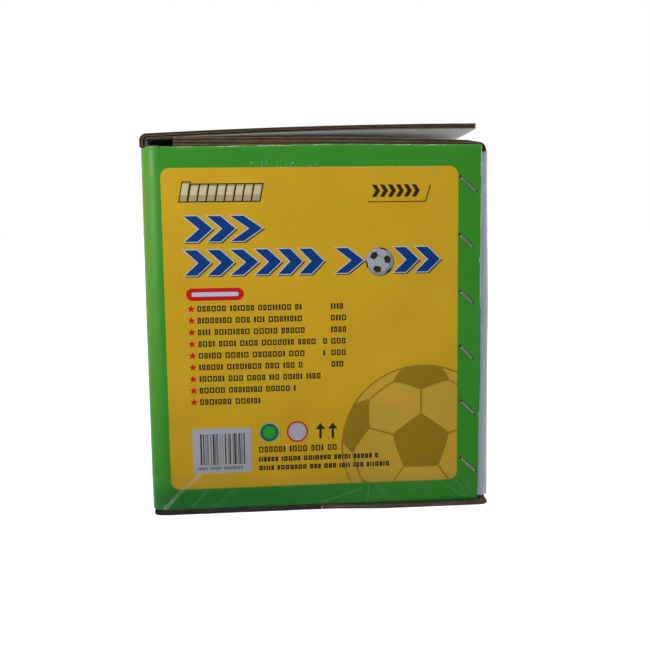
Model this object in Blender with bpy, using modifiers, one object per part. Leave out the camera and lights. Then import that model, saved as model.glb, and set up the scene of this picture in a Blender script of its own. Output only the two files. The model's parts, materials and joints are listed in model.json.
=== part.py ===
"""Boxed sports goal kit: a stitched and taped carton of double-wall board, packed with the goal's parts.

Metres, X across the carton's end, Y along its length (the near end is at -Y), Z up.
The origin is the middle of the carton's underside. The carton is sized from the kit that it holds.
"""

import math

import bmesh
import bpy
from mathutils import Matrix

# Poles of the kit
LARGE_DIAMETER = 0.053
LARGE_WALL = 0.0018
SMALL_DIAMETER = 0.038
SMALL_WALL = 0.0016
LARGE_LONG = 0.960
LARGE_MEDIUM = 0.750
LARGE_SHORT = 0.650
SMALL_LONG = 0.905
SMALL_MEDIUM = 0.780
SMALL_SHORT = 0.220
NECK_LENGTH = 0.060  # swaged end that enters the next pole
NECK_TAPER = 0.008
NECK_PLAY = 0.0004  # between a neck and the bore that it enters
COLUMNS = 4  # large poles side by side
POLE_PLAY = 0.0005  # between neighbours of one row

# Ground stakes, net bundle and bag of net clips
STAKE_DIAMETER = 0.007
STAKE_LENGTH = 0.230
STAKE_HOOK_RADIUS = 0.009
STAKE_TIP = 0.018
STAKE_SPACING = 0.012
STAKE_START = 0.020
BUNDLE_PLAY = 0.018  # between the poles' ends and what is packed behind them
BAG_PLAY = 0.005
BAG_HEIGHT = 0.046

# Board and the play left round the kit
BOARD = 0.0043  # double-wall board
SEAT = 0.0003  # gap between pieces that touch
SIDE_PLAY = 0.00295
END_PLAY = 0.0072
HEADROOM = 0.0154

# Folds and flaps
CORNER_RADIUS = 0.009  # outer radius of the upright folds
FLAP_RADIUS = 0.005  # outer radius of the end and bottom flaps' folds
FLAP_INSET = 0.003  # from the end's face to the long flaps' cut edges
SLOT = 0.0042  # between an end flap's side and the wall beside it
END_FLAP_DEPTH = 0.112
SEAM_GAP = 0.0012  # between the two long bottom flaps

# Stitched joint at the near right corner
JOINT_RADIUS = 0.007
JOINT_SETBACK = 0.0058  # from the right face to the near panel's free edge
JOINT_FLAP_WIDTH = 0.038
JOINT_FLAP_TAPER = 0.012
JOINT_FLAP_TRIM = 0.0006
STAPLE_COUNT = 6
STAPLE_CROWN = 0.0145
STAPLE_WIDTH = 0.0020
STAPLE_THICKNESS = 0.0007
STAPLE_CLINCH = 0.0050
STAPLE_ANGLE = math.radians(46)
STAPLE_LINE = 0.0141  # from the right face to the row's middle
STAPLE_LOWEST = 0.028
STAPLE_PITCH = 0.0384

# Lid: the outer flap, hinged on the left wall, stands a little open
LID_BOARD = 0.0036
LID_REACH = 0.2184
LID_SPRING = math.radians(1.5)
LID_BOW = 0.0014
LID_AXIS_INSET = 0.0010
LID_CLEARANCE = 0.0004

# Inner flap, hinged on the right wall, crushed thin towards its fold
INNER_REACH = 0.2062
INNER_LIFT = 0.0007  # its free edge above the end flaps
INNER_EDGE = 0.0026  # thickness at the fold
INNER_CURL = 0.0057  # radius of the fold's middle line
CRUSH_LENGTH = 0.068

# Clear tape: one strip along the bottom seam and one across each lower end edge
TAPE = 0.0002
FILM_GAP = 0.0001
FLOOR_GAP = 0.00005
SEAM_TAPE_WIDTH = 0.075
SEAM_TAPE_OFFSET = 0.016
SEAM_TAPE_RISE = 0.072
END_TAPE_UNDER = 0.019
END_TAPE_RISE = 0.0215
END_TAPE_BEND = 0.003
END_TAPE_SIDE = 0.009  # left bare at each side of the end

# Facets
FOLD_STEPS = 4
HINGE_STEPS = 8
BOW_STEPS = 8
LARGE_SIDES = 24
SMALL_SIDES = 20
HOOK_STEPS = 10

# Levels and faces that follow from the sizes above
COLUMN_PITCH = LARGE_DIAMETER + POLE_PLAY
INNER_WIDTH = COLUMNS * COLUMN_PITCH - POLE_PLAY + 2 * SIDE_PLAY
WIDTH = INNER_WIDTH + 2 * BOARD
LENGTH = max(LARGE_LONG, SMALL_LONG) + 2 * END_PLAY + 2 * BOARD
HINGE_BULGE = LID_BOARD / 2 - LID_AXIS_INSET
LEFT = (HINGE_BULGE - WIDTH) / 2
RIGHT = (HINGE_BULGE + WIDTH) / 2
NEAR = -LENGTH / 2
FAR = LENGTH / 2
MIDDLE = (LEFT + RIGHT) / 2
LARGE_RADIUS = LARGE_DIAMETER / 2
SMALL_RADIUS = SMALL_DIAMETER / 2
END_BOTTOM = BOARD + SEAT
FLOOR_TOP = END_BOTTOM + BOARD


def stacked(first_radius, second_radius, offset):
    """How far one round piece lies above another, touching it, when it is offset sideways."""
    return math.sqrt((first_radius + second_radius + SEAT) ** 2 - offset**2)


ROW_A = FLOOR_TOP + SEAT + LARGE_RADIUS
ROW_B = ROW_A + stacked(LARGE_RADIUS, SMALL_RADIUS, COLUMN_PITCH / 2)
ROW_C = ROW_B + stacked(SMALL_RADIUS, SMALL_RADIUS, COLUMN_PITCH / 2)
ROW_D = ROW_C + stacked(SMALL_RADIUS, LARGE_RADIUS, 0)
ROW_E = ROW_D + stacked(LARGE_RADIUS, LARGE_RADIUS, 0)
END_TOP = ROW_E + LARGE_RADIUS + HEADROOM + BOARD

INNER_AXIS_X = RIGHT - INNER_EDGE / 2
INNER_AXIS_Z = END_TOP + SEAT - INNER_CURL + INNER_EDGE / 2
RIGHT_WALL_TOP = INNER_AXIS_Z - INNER_EDGE / 2 - SEAT
INNER_TIP_X = INNER_AXIS_X - INNER_REACH
INNER_TIP_TOP = END_TOP + INNER_LIFT + BOARD
LID_AXIS_X = LEFT + LID_AXIS_INSET


def lid_middle(run):
    """Height of the lid's middle line over its chord, at a distance from the hinge."""
    share = run / LID_REACH
    return 4 * LID_BOW * share * (1 - share)


TIP_RUN = INNER_TIP_X - LID_AXIS_X
TIP_RISE = TIP_RUN * math.tan(LID_SPRING) + lid_middle(TIP_RUN)
LID_AXIS_Z = INNER_TIP_TOP + LID_CLEARANCE + LID_BOARD / 2 - TIP_RISE
LEFT_WALL_TOP = LID_AXIS_Z - LID_BOARD / 2 - SEAT


def axes_of(plane):
    """Which world axes an outline's two coordinates and its thickness run along."""
    thickness = next(letter for letter in "XYZ" if letter not in plane)
    return ["XYZ".index(letter) for letter in plane + thickness]


def new_collection(name):
    made = bpy.data.collections.new(name)
    bpy.context.scene.collection.children.link(made)
    return made


def clear_scene():
    for item in list(bpy.data.objects):
        bpy.data.objects.remove(item, do_unlink=True)


clear_scene()
PARTS = new_collection("boxed_goal_kit")
CUTTERS = new_collection("cutters")


def material(name, colour, roughness, metallic=0.0, alpha=1.0):
    """A plain finish, made once for each name."""
    found = bpy.data.materials.get(name)
    if found:
        return found
    made = bpy.data.materials.new(name)
    made.use_nodes = True
    shader = made.node_tree.nodes["Principled BSDF"]
    shader.inputs["Base Color"].default_value = (*colour, 1.0)
    shader.inputs["Roughness"].default_value = roughness
    shader.inputs["Metallic"].default_value = metallic
    shader.inputs["Alpha"].default_value = alpha
    return made


def green_board():
    return material("green_printed_board", (0.035, 0.25, 0.03), 0.45)


def white_board():
    return material("white_board", (0.62, 0.62, 0.66), 0.7)


def steel():
    return material("bright_steel", (0.5, 0.5, 0.52), 0.3, metallic=1.0)


def white_plastic():
    return material("white_pole_plastic", (0.8, 0.8, 0.78), 0.35)


def clear_film():
    return material("clear_film", (0.8, 0.8, 0.8), 0.15, alpha=0.3)


def add(name, mesh, finish, collection=PARTS):
    made = bpy.data.objects.new(name, mesh)
    if finish:
        mesh.materials.clear()
        mesh.materials.append(finish)
    collection.objects.link(made)
    return made


def curve_mesh(name, curve, placed=Matrix.Identity(4)):
    """The closed mesh of a curve, with its caps welded on."""
    holder = bpy.data.objects.new(name, curve)
    PARTS.objects.link(holder)
    holder.matrix_world = placed
    depsgraph = bpy.context.evaluated_depsgraph_get()
    mesh = bpy.data.meshes.new_from_object(holder.evaluated_get(depsgraph))
    mesh.transform(placed)
    bpy.data.objects.remove(holder, do_unlink=True)
    bpy.data.curves.remove(curve)
    shape = bmesh.new()
    shape.from_mesh(mesh)
    bmesh.ops.remove_doubles(shape, verts=shape.verts, dist=1e-6)
    bmesh.ops.recalc_face_normals(shape, faces=shape.faces)
    shape.to_mesh(mesh)
    shape.free()
    mesh.name = name
    return mesh


def extrusion(name, outline, plane, start, end):
    """A flat outline in one plane, given thickness from start to end along the third axis."""
    curve = bpy.data.curves.new(name, "CURVE")
    curve.dimensions = "2D"
    curve.fill_mode = "BOTH"
    curve.extrude = (end - start) / 2
    spline = curve.splines.new("POLY")
    spline.points.add(len(outline) - 1)
    for point, (across, up) in zip(spline.points, outline):
        point.co = (across, up, 0.0, 1.0)
    spline.use_cyclic_u = True
    placed = Matrix.Diagonal((0.0, 0.0, 0.0, 1.0))
    axes = axes_of(plane)
    for source, target in enumerate(axes):
        placed[target][source] = 1.0
    placed[axes[2]][3] = (start + end) / 2
    return curve_mesh(name, curve, placed)


def arc(centre, radius, first, last, steps=FOLD_STEPS):
    """Points of an arc between two angles in degrees."""
    points = []
    for step in range(steps + 1):
        angle = math.radians(first + (last - first) * step / steps)
        points.append((centre[0] + radius * math.cos(angle), centre[1] + radius * math.sin(angle)))
    return points


def smooth(mesh, angle=35):
    mesh.shade_smooth()
    mesh.set_sharp_from_angle(angle=math.radians(angle))


def cut_with(target, cutters):
    change = target.modifiers.new("pierced", "BOOLEAN")
    change.operation = "DIFFERENCE"
    change.operand_type = "COLLECTION"
    change.collection = cutters


def box_cutter(name, low, high, collection, turn=0.0, about=(0.0, 0.0, 0.0)):
    """A box from corner to corner about a point, turned round Y, kept out of the model."""
    shape = bmesh.new()
    size = [b - a for a, b in zip(low, high)]
    middle = [(a + b) / 2 for a, b in zip(low, high)]
    bmesh.ops.create_cube(shape, size=1.0)
    bmesh.ops.scale(shape, vec=size, verts=shape.verts)
    bmesh.ops.translate(shape, vec=middle, verts=shape.verts)
    mesh = bpy.data.meshes.new(name)
    shape.to_mesh(mesh)
    shape.free()
    made = bpy.data.objects.new(name, mesh)
    collection.objects.link(made)
    made.location = about
    made.rotation_euler = (0.0, turn, 0.0)
    made.hide_render = True
    made.display_type = "WIRE"
    return made


def cutter_group(name):
    group = bpy.data.collections.new(name)
    CUTTERS.children.link(group)
    return group


# Upright folds are split at 45 degrees between the two panels that share them
NEAR_LEFT = (LEFT + CORNER_RADIUS, NEAR + CORNER_RADIUS)
FAR_LEFT = (LEFT + CORNER_RADIUS, FAR - CORNER_RADIUS)
FAR_RIGHT = (RIGHT - CORNER_RADIUS, FAR - CORNER_RADIUS)
JOINT_FACE = NEAR + BOARD + SEAT
NEAR_RIGHT = (RIGHT - JOINT_RADIUS, JOINT_FACE + JOINT_RADIUS)


def split_angle(radius):
    """Half the angle that the gap between two panels takes at their shared fold."""
    return math.degrees(SEAT / 2 / (radius - BOARD / 2))


def fold_pair(centre, radius, first, last):
    """Outer and inner arcs of one half of an upright fold."""
    return arc(centre, radius, first, last), arc(centre, radius - BOARD, last, first)


def panel(name, start_fold, end_fold, bottom, top, finish):
    """An upright panel: its plan runs through one half fold, along the flat, and into the next."""
    outer = start_fold[0] + end_fold[0]
    inner = end_fold[1] + start_fold[1]
    return add(name, extrusion(name, outer + inner, "XY", bottom, top), finish)


def round_top(mesh, top, radius):
    """Rounds a panel's top edge, where a lid turns on it."""
    shape = bmesh.new()
    shape.from_mesh(mesh)
    bmesh.ops.dissolve_limit(shape, angle_limit=0.001, verts=shape.verts, edges=shape.edges)
    upper = [e for e in shape.edges if all(abs(v.co.z - top) < 1e-5 for v in e.verts)]
    long_edges = [e for e in upper if abs(e.calc_length() - BOARD) > 1e-5]
    bmesh.ops.bevel(shape, geom=long_edges, offset=radius, segments=FOLD_STEPS, profile=0.5, affect="EDGES")
    bmesh.ops.triangulate(shape, faces=[f for f in shape.faces if len(f.verts) > 4])
    shape.to_mesh(mesh)
    shape.free()


def straight_end(x, y_outer):
    """The square cut end of a panel that runs along X."""
    return [(x, y_outer)], [(x, y_outer + BOARD)]


def make_walls():
    """Four panels and the joint flap that closes the sleeve at the near right corner."""
    gap = split_angle(CORNER_RADIUS)
    joint_gap = split_angle(JOINT_RADIUS)
    low = FLAP_RADIUS + SEAT
    end_low = END_BOTTOM + FLAP_RADIUS + SEAT
    end_high = END_TOP - FLAP_RADIUS - SEAT

    left = panel(
        "left_side_wall",
        fold_pair(NEAR_LEFT, CORNER_RADIUS, 225 - gap, 180),
        fold_pair(FAR_LEFT, CORNER_RADIUS, 180, 135 + gap),
        low,
        LEFT_WALL_TOP,
        green_board(),
    )
    round_top(left.data, LEFT_WALL_TOP, BOARD / 2 - FILM_GAP)

    panel(
        "far_end_panel",
        fold_pair(FAR_LEFT, CORNER_RADIUS, 135 - gap, 90),
        fold_pair(FAR_RIGHT, CORNER_RADIUS, 90, 45 + gap),
        end_low,
        end_high,
        green_board(),
    )
    panel(
        "right_side_wall",
        fold_pair(FAR_RIGHT, CORNER_RADIUS, 45 - gap, 0),
        fold_pair(NEAR_RIGHT, JOINT_RADIUS, 0, -45 + joint_gap),
        low,
        RIGHT_WALL_TOP,
        white_board(),
    )
    near = panel(
        "near_end_panel",
        fold_pair(NEAR_LEFT, CORNER_RADIUS, 225 + gap, 270),
        straight_end(RIGHT - JOINT_SETBACK, NEAR),
        end_low,
        end_high,
        green_board(),
    )
    joint = panel(
        "joint_flap",
        fold_pair(NEAR_RIGHT, JOINT_RADIUS, -45 - joint_gap, -90),
        straight_end(RIGHT - JOINT_FLAP_WIDTH, JOINT_FACE),
        end_low - SEAT,
        RIGHT_WALL_TOP - JOINT_FLAP_TRIM,
        white_board(),
    )
    middle = (end_low + RIGHT_WALL_TOP) / 2
    for vertex in joint.data.vertices:
        if vertex.co.x < RIGHT - JOINT_FLAP_WIDTH + SEAT:
            vertex.co.z += JOINT_FLAP_TAPER * (1 if vertex.co.z < middle else -1)
    return near, joint


def flap_profile(reach, steps=FOLD_STEPS):
    """A flap's profile: quarter fold down from a wall, then flat. Runs inward first, then up from its face."""
    centre = (FLAP_RADIUS, FLAP_RADIUS)
    outer = arc(centre, FLAP_RADIUS, 180, 270, steps)
    inner = arc(centre, FLAP_RADIUS - BOARD, 270, 180, steps)
    return outer, [(reach, 0.0), (reach, BOARD)], inner


def end_flap(name, face, inward, level, upward, finish):
    """An end flap folded in from an end panel, at the bottom or at the top."""
    outer, tip, inner = flap_profile(END_FLAP_DEPTH)
    outline = [(face + inward * a, level + upward * b) for a, b in outer + tip + inner]
    low = LEFT + BOARD + SLOT
    high = RIGHT - BOARD - SLOT
    return add(name, extrusion(name, outline, "YZ", low, high), finish)


def long_bottom_flap(name, face, inward, tape_overlap, finish):
    """A long bottom flap, pressed in along the seam by the thickness of the tape."""
    reach = WIDTH / 2 - SEAM_GAP / 2
    outer, tip, inner = flap_profile(reach)
    step = reach - tape_overlap - FILM_GAP
    depth = FLOOR_GAP + TAPE + FILM_GAP
    recess = [(step, 0.0), (step, depth), (reach, depth), tip[1]]
    outline = [(face + inward * a, b) for a, b in outer + recess + inner]
    made = add(name, extrusion(name, outline, "XZ", NEAR + FLAP_INSET, FAR - FLAP_INSET), finish)
    return made


def make_fixed_flaps():
    """The end flaps, top and bottom, and the two long flaps that close the bottom."""
    for name, face, inward in (("near_end", NEAR, 1), ("far_end", FAR, -1)):
        end_flap(name + "_bottom_flap", face, inward, END_BOTTOM, 1, green_board())
        end_flap(name + "_top_flap", face, inward, END_TOP, -1, green_board())

    tape_middle = SEAM_TAPE_OFFSET - MIDDLE
    left = long_bottom_flap(
        "left_bottom_flap", LEFT, 1, SEAM_TAPE_WIDTH / 2 - tape_middle - SEAM_GAP / 2, green_board()
    )
    right = long_bottom_flap(
        "right_bottom_flap", RIGHT, -1, SEAM_TAPE_WIDTH / 2 + tape_middle - SEAM_GAP / 2, green_board()
    )
    presses = cutter_group("end_tape_recesses")
    depth = FLOOR_GAP + 2 * (TAPE + FILM_GAP) + FILM_GAP / 2
    for name, face, inward in (("near", NEAR, 1), ("far", FAR, -1)):
        edges = sorted((face - inward * FLAP_RADIUS, face + inward * (END_TAPE_UNDER + SEAT)))
        low = (LEFT - BOARD, edges[0], -BOARD)
        high = (RIGHT + BOARD, edges[1], depth)
        box_cutter(name + "_end_tape_recess", low, high, presses)
    for flap in (left, right):
        cut_with(flap, presses)


def make_lid():
    """The outer flap. Its rounded edge turns on the left wall's rounded top; it bows and stands open."""
    half = LID_BOARD / 2
    runs = [LID_REACH * step / BOW_STEPS for step in range(1, BOW_STEPS + 1)]
    knuckle = arc((0.0, 0.0), half, 90, 270, HINGE_STEPS)
    under = [(run, lid_middle(run) - half) for run in runs]
    over = [(run, lid_middle(run) + half) for run in reversed(runs)]
    name = "outer_lid_flap"
    lid = add(
        name,
        extrusion(name, knuckle + under + over, "XZ", NEAR + FLAP_INSET, FAR - FLAP_INSET),
        green_board(),
    )
    smooth(lid.data)
    lid.location = (LID_AXIS_X, 0.0, LID_AXIS_Z)
    lid.rotation_euler = (0.0, -LID_SPRING, 0.0)


def crushed_thickness(run):
    """Thickness of the inner flap at a distance from its fold: thin at the fold, full further in."""
    share = min(max((run - INNER_CURL) / (CRUSH_LENGTH - INNER_CURL), 0.0), 1.0)
    return INNER_EDGE + (BOARD - INNER_EDGE) * share * share * (3 - 2 * share)


def make_inner_flap():
    """The inner flap: a curled fold over the right wall, then a flat run that lies on the end flaps."""
    half = INNER_EDGE / 2
    centre = (-INNER_CURL, 0.0)
    knuckle = arc((0.0, 0.0), half, 180, 360, HINGE_STEPS)
    curl_over = arc(centre, INNER_CURL + half, 0, 90, FOLD_STEPS)
    curl_under = arc(centre, INNER_CURL - half, 90, 0, FOLD_STEPS)
    fold_under = INNER_CURL - half
    tip_under = END_TOP + INNER_LIFT - INNER_AXIS_Z

    def underside(run):
        share = (run - INNER_CURL) / (INNER_REACH - INNER_CURL)
        return fold_under + (tip_under - fold_under) * share

    crush = [INNER_CURL + (CRUSH_LENGTH - INNER_CURL) * step / BOW_STEPS for step in range(1, BOW_STEPS + 1)]
    over = [(-run, underside(run) + crushed_thickness(run)) for run in crush + [INNER_REACH]]
    under = [(-INNER_REACH, underside(INNER_REACH))]
    outline = knuckle + curl_over[1:] + over + under + curl_under[:-1]
    name = "inner_lid_flap"
    flap = add(
        name, extrusion(name, outline, "XZ", NEAR + FLAP_INSET, FAR - FLAP_INSET), white_board()
    )
    smooth(flap.data)
    flap.location = (INNER_AXIS_X, 0.0, INNER_AXIS_Z)


def make_staples(near, joint):
    """Flat wire stitches through the near panel and the joint flap, clinched inside."""
    half = STAPLE_CROWN / 2
    thick = STAPLE_THICKNESS
    outside = -SEAT - thick
    inside = 2 * BOARD + 2 * SEAT + thick
    outline = [
        (-half, outside),
        (half, outside),
        (half, inside),
        (half - STAPLE_CLINCH, inside),
        (half - STAPLE_CLINCH, inside - thick),
        (half - thick, inside - thick),
        (half - thick, outside + thick),
        (thick - half, outside + thick),
        (thick - half, inside - thick),
        (STAPLE_CLINCH - half, inside - thick),
        (STAPLE_CLINCH - half, inside),
        (-half, inside),
    ]
    holes = cutter_group("staple_holes")
    leg_x = half - thick / 2
    hole_half = thick / 2 + SEAT
    hole_width = STAPLE_WIDTH / 2 + SEAT
    for count in range(STAPLE_COUNT):
        name = f"staple_{count + 1}"
        spot = (RIGHT - STAPLE_LINE, NEAR, STAPLE_LOWEST + STAPLE_PITCH * count)
        staple = add(
            name, extrusion(name, outline, "XY", -STAPLE_WIDTH / 2, STAPLE_WIDTH / 2), steel()
        )
        staple.location = spot
        staple.rotation_euler = (0.0, STAPLE_ANGLE, 0.0)
        for side in (-1, 1):
            low = (side * leg_x - hole_half, -BOARD, -hole_width)
            high = (side * leg_x + hole_half, inside + BOARD, hole_width)
            box_cutter(f"{name}_hole_{side + 2}", low, high, holes, STAPLE_ANGLE, spot)
    for board in (near, joint):
        cut_with(board, holes)


def film_path(skin, rise, reach, bend):
    """Profile of a strip of film round a lower end edge: down the face, round the edge, under the board.

    skin is how far its outer face stands off the end's face, and reach how far it goes under.
    """
    low = FLOOR_GAP + 2 * (FILM_GAP + TAPE) - skin
    centre = (bend - skin, low + bend)
    outer = [(-skin, rise)] + arc(centre, bend, 180, 270)
    inner = arc(centre, bend - TAPE, 270, 180) + [(TAPE - skin, rise)]
    return outer, (reach, low), (reach, low + TAPE), inner


def make_tapes():
    """Three strips of clear film: across both lower end edges, and along the bottom seam over them."""
    for name, face, inward in (("near_end_edge_tape", NEAR, 1), ("far_end_edge_tape", FAR, -1)):
        outer, low, high, inner = film_path(TAPE + FILM_GAP, END_TAPE_RISE, END_TAPE_UNDER, END_TAPE_BEND)
        outline = [(face + inward * a, b) for a, b in outer + [low, high] + inner]
        add(name, extrusion(name, outline, "YZ", LEFT + END_TAPE_SIDE, RIGHT - END_TAPE_SIDE), clear_film())

    skin = 2 * (TAPE + FILM_GAP)
    bend = END_TAPE_BEND + TAPE + FILM_GAP
    outer, _, _, inner = film_path(skin, SEAM_TAPE_RISE, 0.0, bend)
    outline = [(NEAR + a, b) for a, b in outer]
    outline += [(FAR - a, b) for a, b in reversed(outer)]
    outline += [(FAR - a, b) for a, b in reversed(inner)]
    outline += [(NEAR + a, b) for a, b in inner]
    name = "bottom_seam_tape"
    half = SEAM_TAPE_WIDTH / 2
    add(name, extrusion(name, outline, "YZ", SEAM_TAPE_OFFSET - half, SEAM_TAPE_OFFSET + half), clear_film())


def pole(name, diameter, wall, length, sides, spot, flipped):
    """A turned tube with a swaged neck at one end, laid along Y with its plain end at the spot."""
    radius = diameter / 2
    bore = radius - wall
    neck = bore - NECK_PLAY
    shoulder = length - NECK_LENGTH
    profile = [
        (neck, length),
        (neck, shoulder),
        (radius, shoulder - NECK_TAPER),
        (radius, 0.0),
        (bore, 0.0),
        (bore, shoulder - NECK_TAPER),
        (neck - wall, shoulder),
        (neck - wall, length),
    ]
    shape = bmesh.new()
    corners = [shape.verts.new((r, 0.0, z)) for r, z in profile]
    for first, second in zip(corners, corners[1:] + corners[:1]):
        shape.edges.new((first, second))
    mesh = bpy.data.meshes.new(name)
    shape.to_mesh(mesh)
    shape.free()
    made = add(name, mesh, white_plastic())
    turned = made.modifiers.new("turned", "SCREW")
    turned.steps = sides
    turned.render_steps = sides
    turned.use_merge_vertices = True
    turned.merge_threshold = 1e-5
    made.rotation_euler = (math.radians(90 if flipped else -90), 0.0, 0.0)
    x, y, z = spot
    made.location = (x, y + length if flipped else y, z)
    return made


def column_x(column, columns=COLUMNS):
    return MIDDLE + (column - (columns - 1) / 2) * COLUMN_PITCH


PACK_START = NEAR + BOARD + END_PLAY


def make_poles():
    """Five rows of poles. Necks point to alternate ends along each row, as they are packed."""
    counts = {}

    def lay(kind, diameter, wall, length, sides, x, z, start, flipped):
        counts[kind] = counts.get(kind, 0) + 1
        pole(f"{kind}_{counts[kind]}", diameter, wall, length, sides, (x, start, z), flipped)

    large = (LARGE_DIAMETER, LARGE_WALL)
    small = (SMALL_DIAMETER, SMALL_WALL)
    for column in range(COLUMNS):
        x = column_x(column)
        odd = column % 2 == 1
        lay("large_pole_long", *large, LARGE_LONG, LARGE_SIDES, x, ROW_A, PACK_START, odd)
        lay("small_pole_long", *small, SMALL_LONG, SMALL_SIDES, x, ROW_C, PACK_START, odd)
        lay("large_pole_medium", *large, LARGE_MEDIUM, LARGE_SIDES, x, ROW_D, PACK_START, odd)
    for column in range(COLUMNS - 1):
        x = column_x(column, COLUMNS - 1)
        lay("small_pole_medium", *small, SMALL_MEDIUM, SMALL_SIDES, x, ROW_B, PACK_START, column == 1)
    for column in range(COLUMNS):
        x = column_x(column)
        odd = column % 2 == 1
        if column < COLUMNS // 2:
            lay("large_pole_medium", *large, LARGE_MEDIUM, LARGE_SIDES, x, ROW_E, PACK_START, odd)
        else:
            lay("large_pole_short", *large, LARGE_SHORT, LARGE_SIDES, x, ROW_E, PACK_START, odd)
            start = PACK_START + LARGE_SHORT + BUNDLE_PLAY
            level = ROW_D + stacked(LARGE_RADIUS, SMALL_RADIUS, 0)
            lay("small_pole_short", *small, SMALL_SHORT, SMALL_SIDES, x, level, start, odd)


def stake_mesh():
    """A round steel rod along Y, from its pointed tip to a hook bent up and back."""
    curve = bpy.data.curves.new("stake", "CURVE")
    curve.dimensions = "3D"
    curve.bevel_depth = STAKE_DIAMETER / 2
    curve.bevel_resolution = 2
    curve.use_fill_caps = True
    shank = STAKE_LENGTH - STAKE_HOOK_RADIUS - STAKE_DIAMETER / 2
    points = [(0.0, 0.0, 0.25), (STAKE_TIP, 0.0, 1.0), (shank / 2, 0.0, 1.0)]
    for across, up in arc((shank, STAKE_HOOK_RADIUS), STAKE_HOOK_RADIUS, -90, 90, HOOK_STEPS):
        points.append((across, up, 1.0))
    points.append((shank - STAKE_HOOK_RADIUS, 2 * STAKE_HOOK_RADIUS, 1.0))
    spline = curve.splines.new("POLY")
    spline.points.add(len(points) - 1)
    for point, (along, up, radius) in zip(spline.points, points):
        point.co = (0.0, along, up, 1.0)
        point.radius = radius
    mesh = curve_mesh("ground_stake", curve)
    smooth(mesh, 50)
    mesh.materials.append(steel())
    return mesh


def make_stakes():
    """Two stakes in each groove between the poles of the top row, hooks up."""
    mesh = stake_mesh()
    level = ROW_E + stacked(LARGE_RADIUS, STAKE_DIAMETER / 2, COLUMN_PITCH / 2)
    count = 0
    for groove in range(COLUMNS - 1):
        for place in range(2):
            count += 1
            start = PACK_START + STAKE_START + place * (STAKE_LENGTH + STAKE_SPACING)
            stake = add(f"ground_stake_{count}", mesh, None)
            stake.location = (column_x(groove, COLUMNS - 1), start, level)


def soft_block(name, low, high, finish):
    """A crowned soft block from a coarse cage."""
    shape = bmesh.new()
    bmesh.ops.create_cube(shape, size=1.0)
    bmesh.ops.subdivide_edges(shape, edges=shape.edges, cuts=3, use_grid_fill=True)
    size = [b - a for a, b in zip(low, high)]
    middle = [(a + b) / 2 for a, b in zip(low, high)]
    bmesh.ops.scale(shape, vec=size, verts=shape.verts)
    bmesh.ops.translate(shape, vec=middle, verts=shape.verts)
    mesh = bpy.data.meshes.new(name)
    shape.to_mesh(mesh)
    shape.free()
    made = add(name, mesh, finish)
    rounded = made.modifiers.new("rounded", "SUBSURF")
    rounded.levels = 1
    rounded.render_levels = 1
    return made


def make_soft_goods():
    """The folded net fills the end of row D, and the bag of net clips lies on its left half."""
    start = PACK_START + LARGE_MEDIUM + BUNDLE_PLAY
    end = FAR - BOARD - END_PLAY
    net_low = ROW_C + SMALL_RADIUS + SEAT
    net_high = ROW_D + LARGE_RADIUS
    left = LEFT + BOARD + SIDE_PLAY
    right = RIGHT - BOARD - SIDE_PLAY
    net_finish = material("white_net", (0.75, 0.75, 0.72), 0.8)
    soft_block("folded_net", (left, start, net_low), (right, end, net_high), net_finish)
    bag_finish = material("bag_of_clips", (0.7, 0.72, 0.75), 0.3)
    bag_low = net_high + SEAT
    bag_right = column_x(COLUMNS // 2) - SMALL_RADIUS - BAG_PLAY
    soft_block("net_clip_bag", (left, start, bag_low), (bag_right, end, bag_low + BAG_HEIGHT), bag_finish)


def main():
    near, joint = make_walls()
    make_fixed_flaps()
    make_lid()
    make_inner_flap()
    make_staples(near, joint)
    make_tapes()
    make_poles()
    make_stakes()
    make_soft_goods()


main()
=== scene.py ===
"""Looks of a boxed sports goal kit: a stitched and taped carton of double-wall board, its lid a little open.

Metres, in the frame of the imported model. The print is laid out in millimetres, u across and v up from the
lower left corner of the yellow panel. Words and marks are left off: bars, arrowheads and boxes stand there.
"""

import json
import math
import random

import bmesh
import bpy
from mathutils import Matrix, Vector


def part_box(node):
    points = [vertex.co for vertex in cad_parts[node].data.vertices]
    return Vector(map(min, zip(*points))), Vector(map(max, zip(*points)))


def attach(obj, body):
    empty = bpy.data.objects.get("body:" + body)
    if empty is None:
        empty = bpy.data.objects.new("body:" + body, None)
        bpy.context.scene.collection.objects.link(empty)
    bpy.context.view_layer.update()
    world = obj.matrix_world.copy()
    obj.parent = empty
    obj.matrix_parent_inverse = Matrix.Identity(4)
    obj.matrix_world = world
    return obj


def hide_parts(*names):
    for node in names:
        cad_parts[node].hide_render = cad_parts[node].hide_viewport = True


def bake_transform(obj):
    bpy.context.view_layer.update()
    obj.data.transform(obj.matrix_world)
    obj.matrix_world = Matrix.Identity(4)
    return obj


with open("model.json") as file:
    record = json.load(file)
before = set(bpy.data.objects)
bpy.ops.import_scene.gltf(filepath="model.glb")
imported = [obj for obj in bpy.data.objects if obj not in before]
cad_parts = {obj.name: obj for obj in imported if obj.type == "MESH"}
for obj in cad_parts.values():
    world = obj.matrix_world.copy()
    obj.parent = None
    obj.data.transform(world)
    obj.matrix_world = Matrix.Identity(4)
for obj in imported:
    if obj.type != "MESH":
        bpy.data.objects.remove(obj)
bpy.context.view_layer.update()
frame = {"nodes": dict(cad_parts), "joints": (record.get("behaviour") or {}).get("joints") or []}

MM = 0.001

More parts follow.
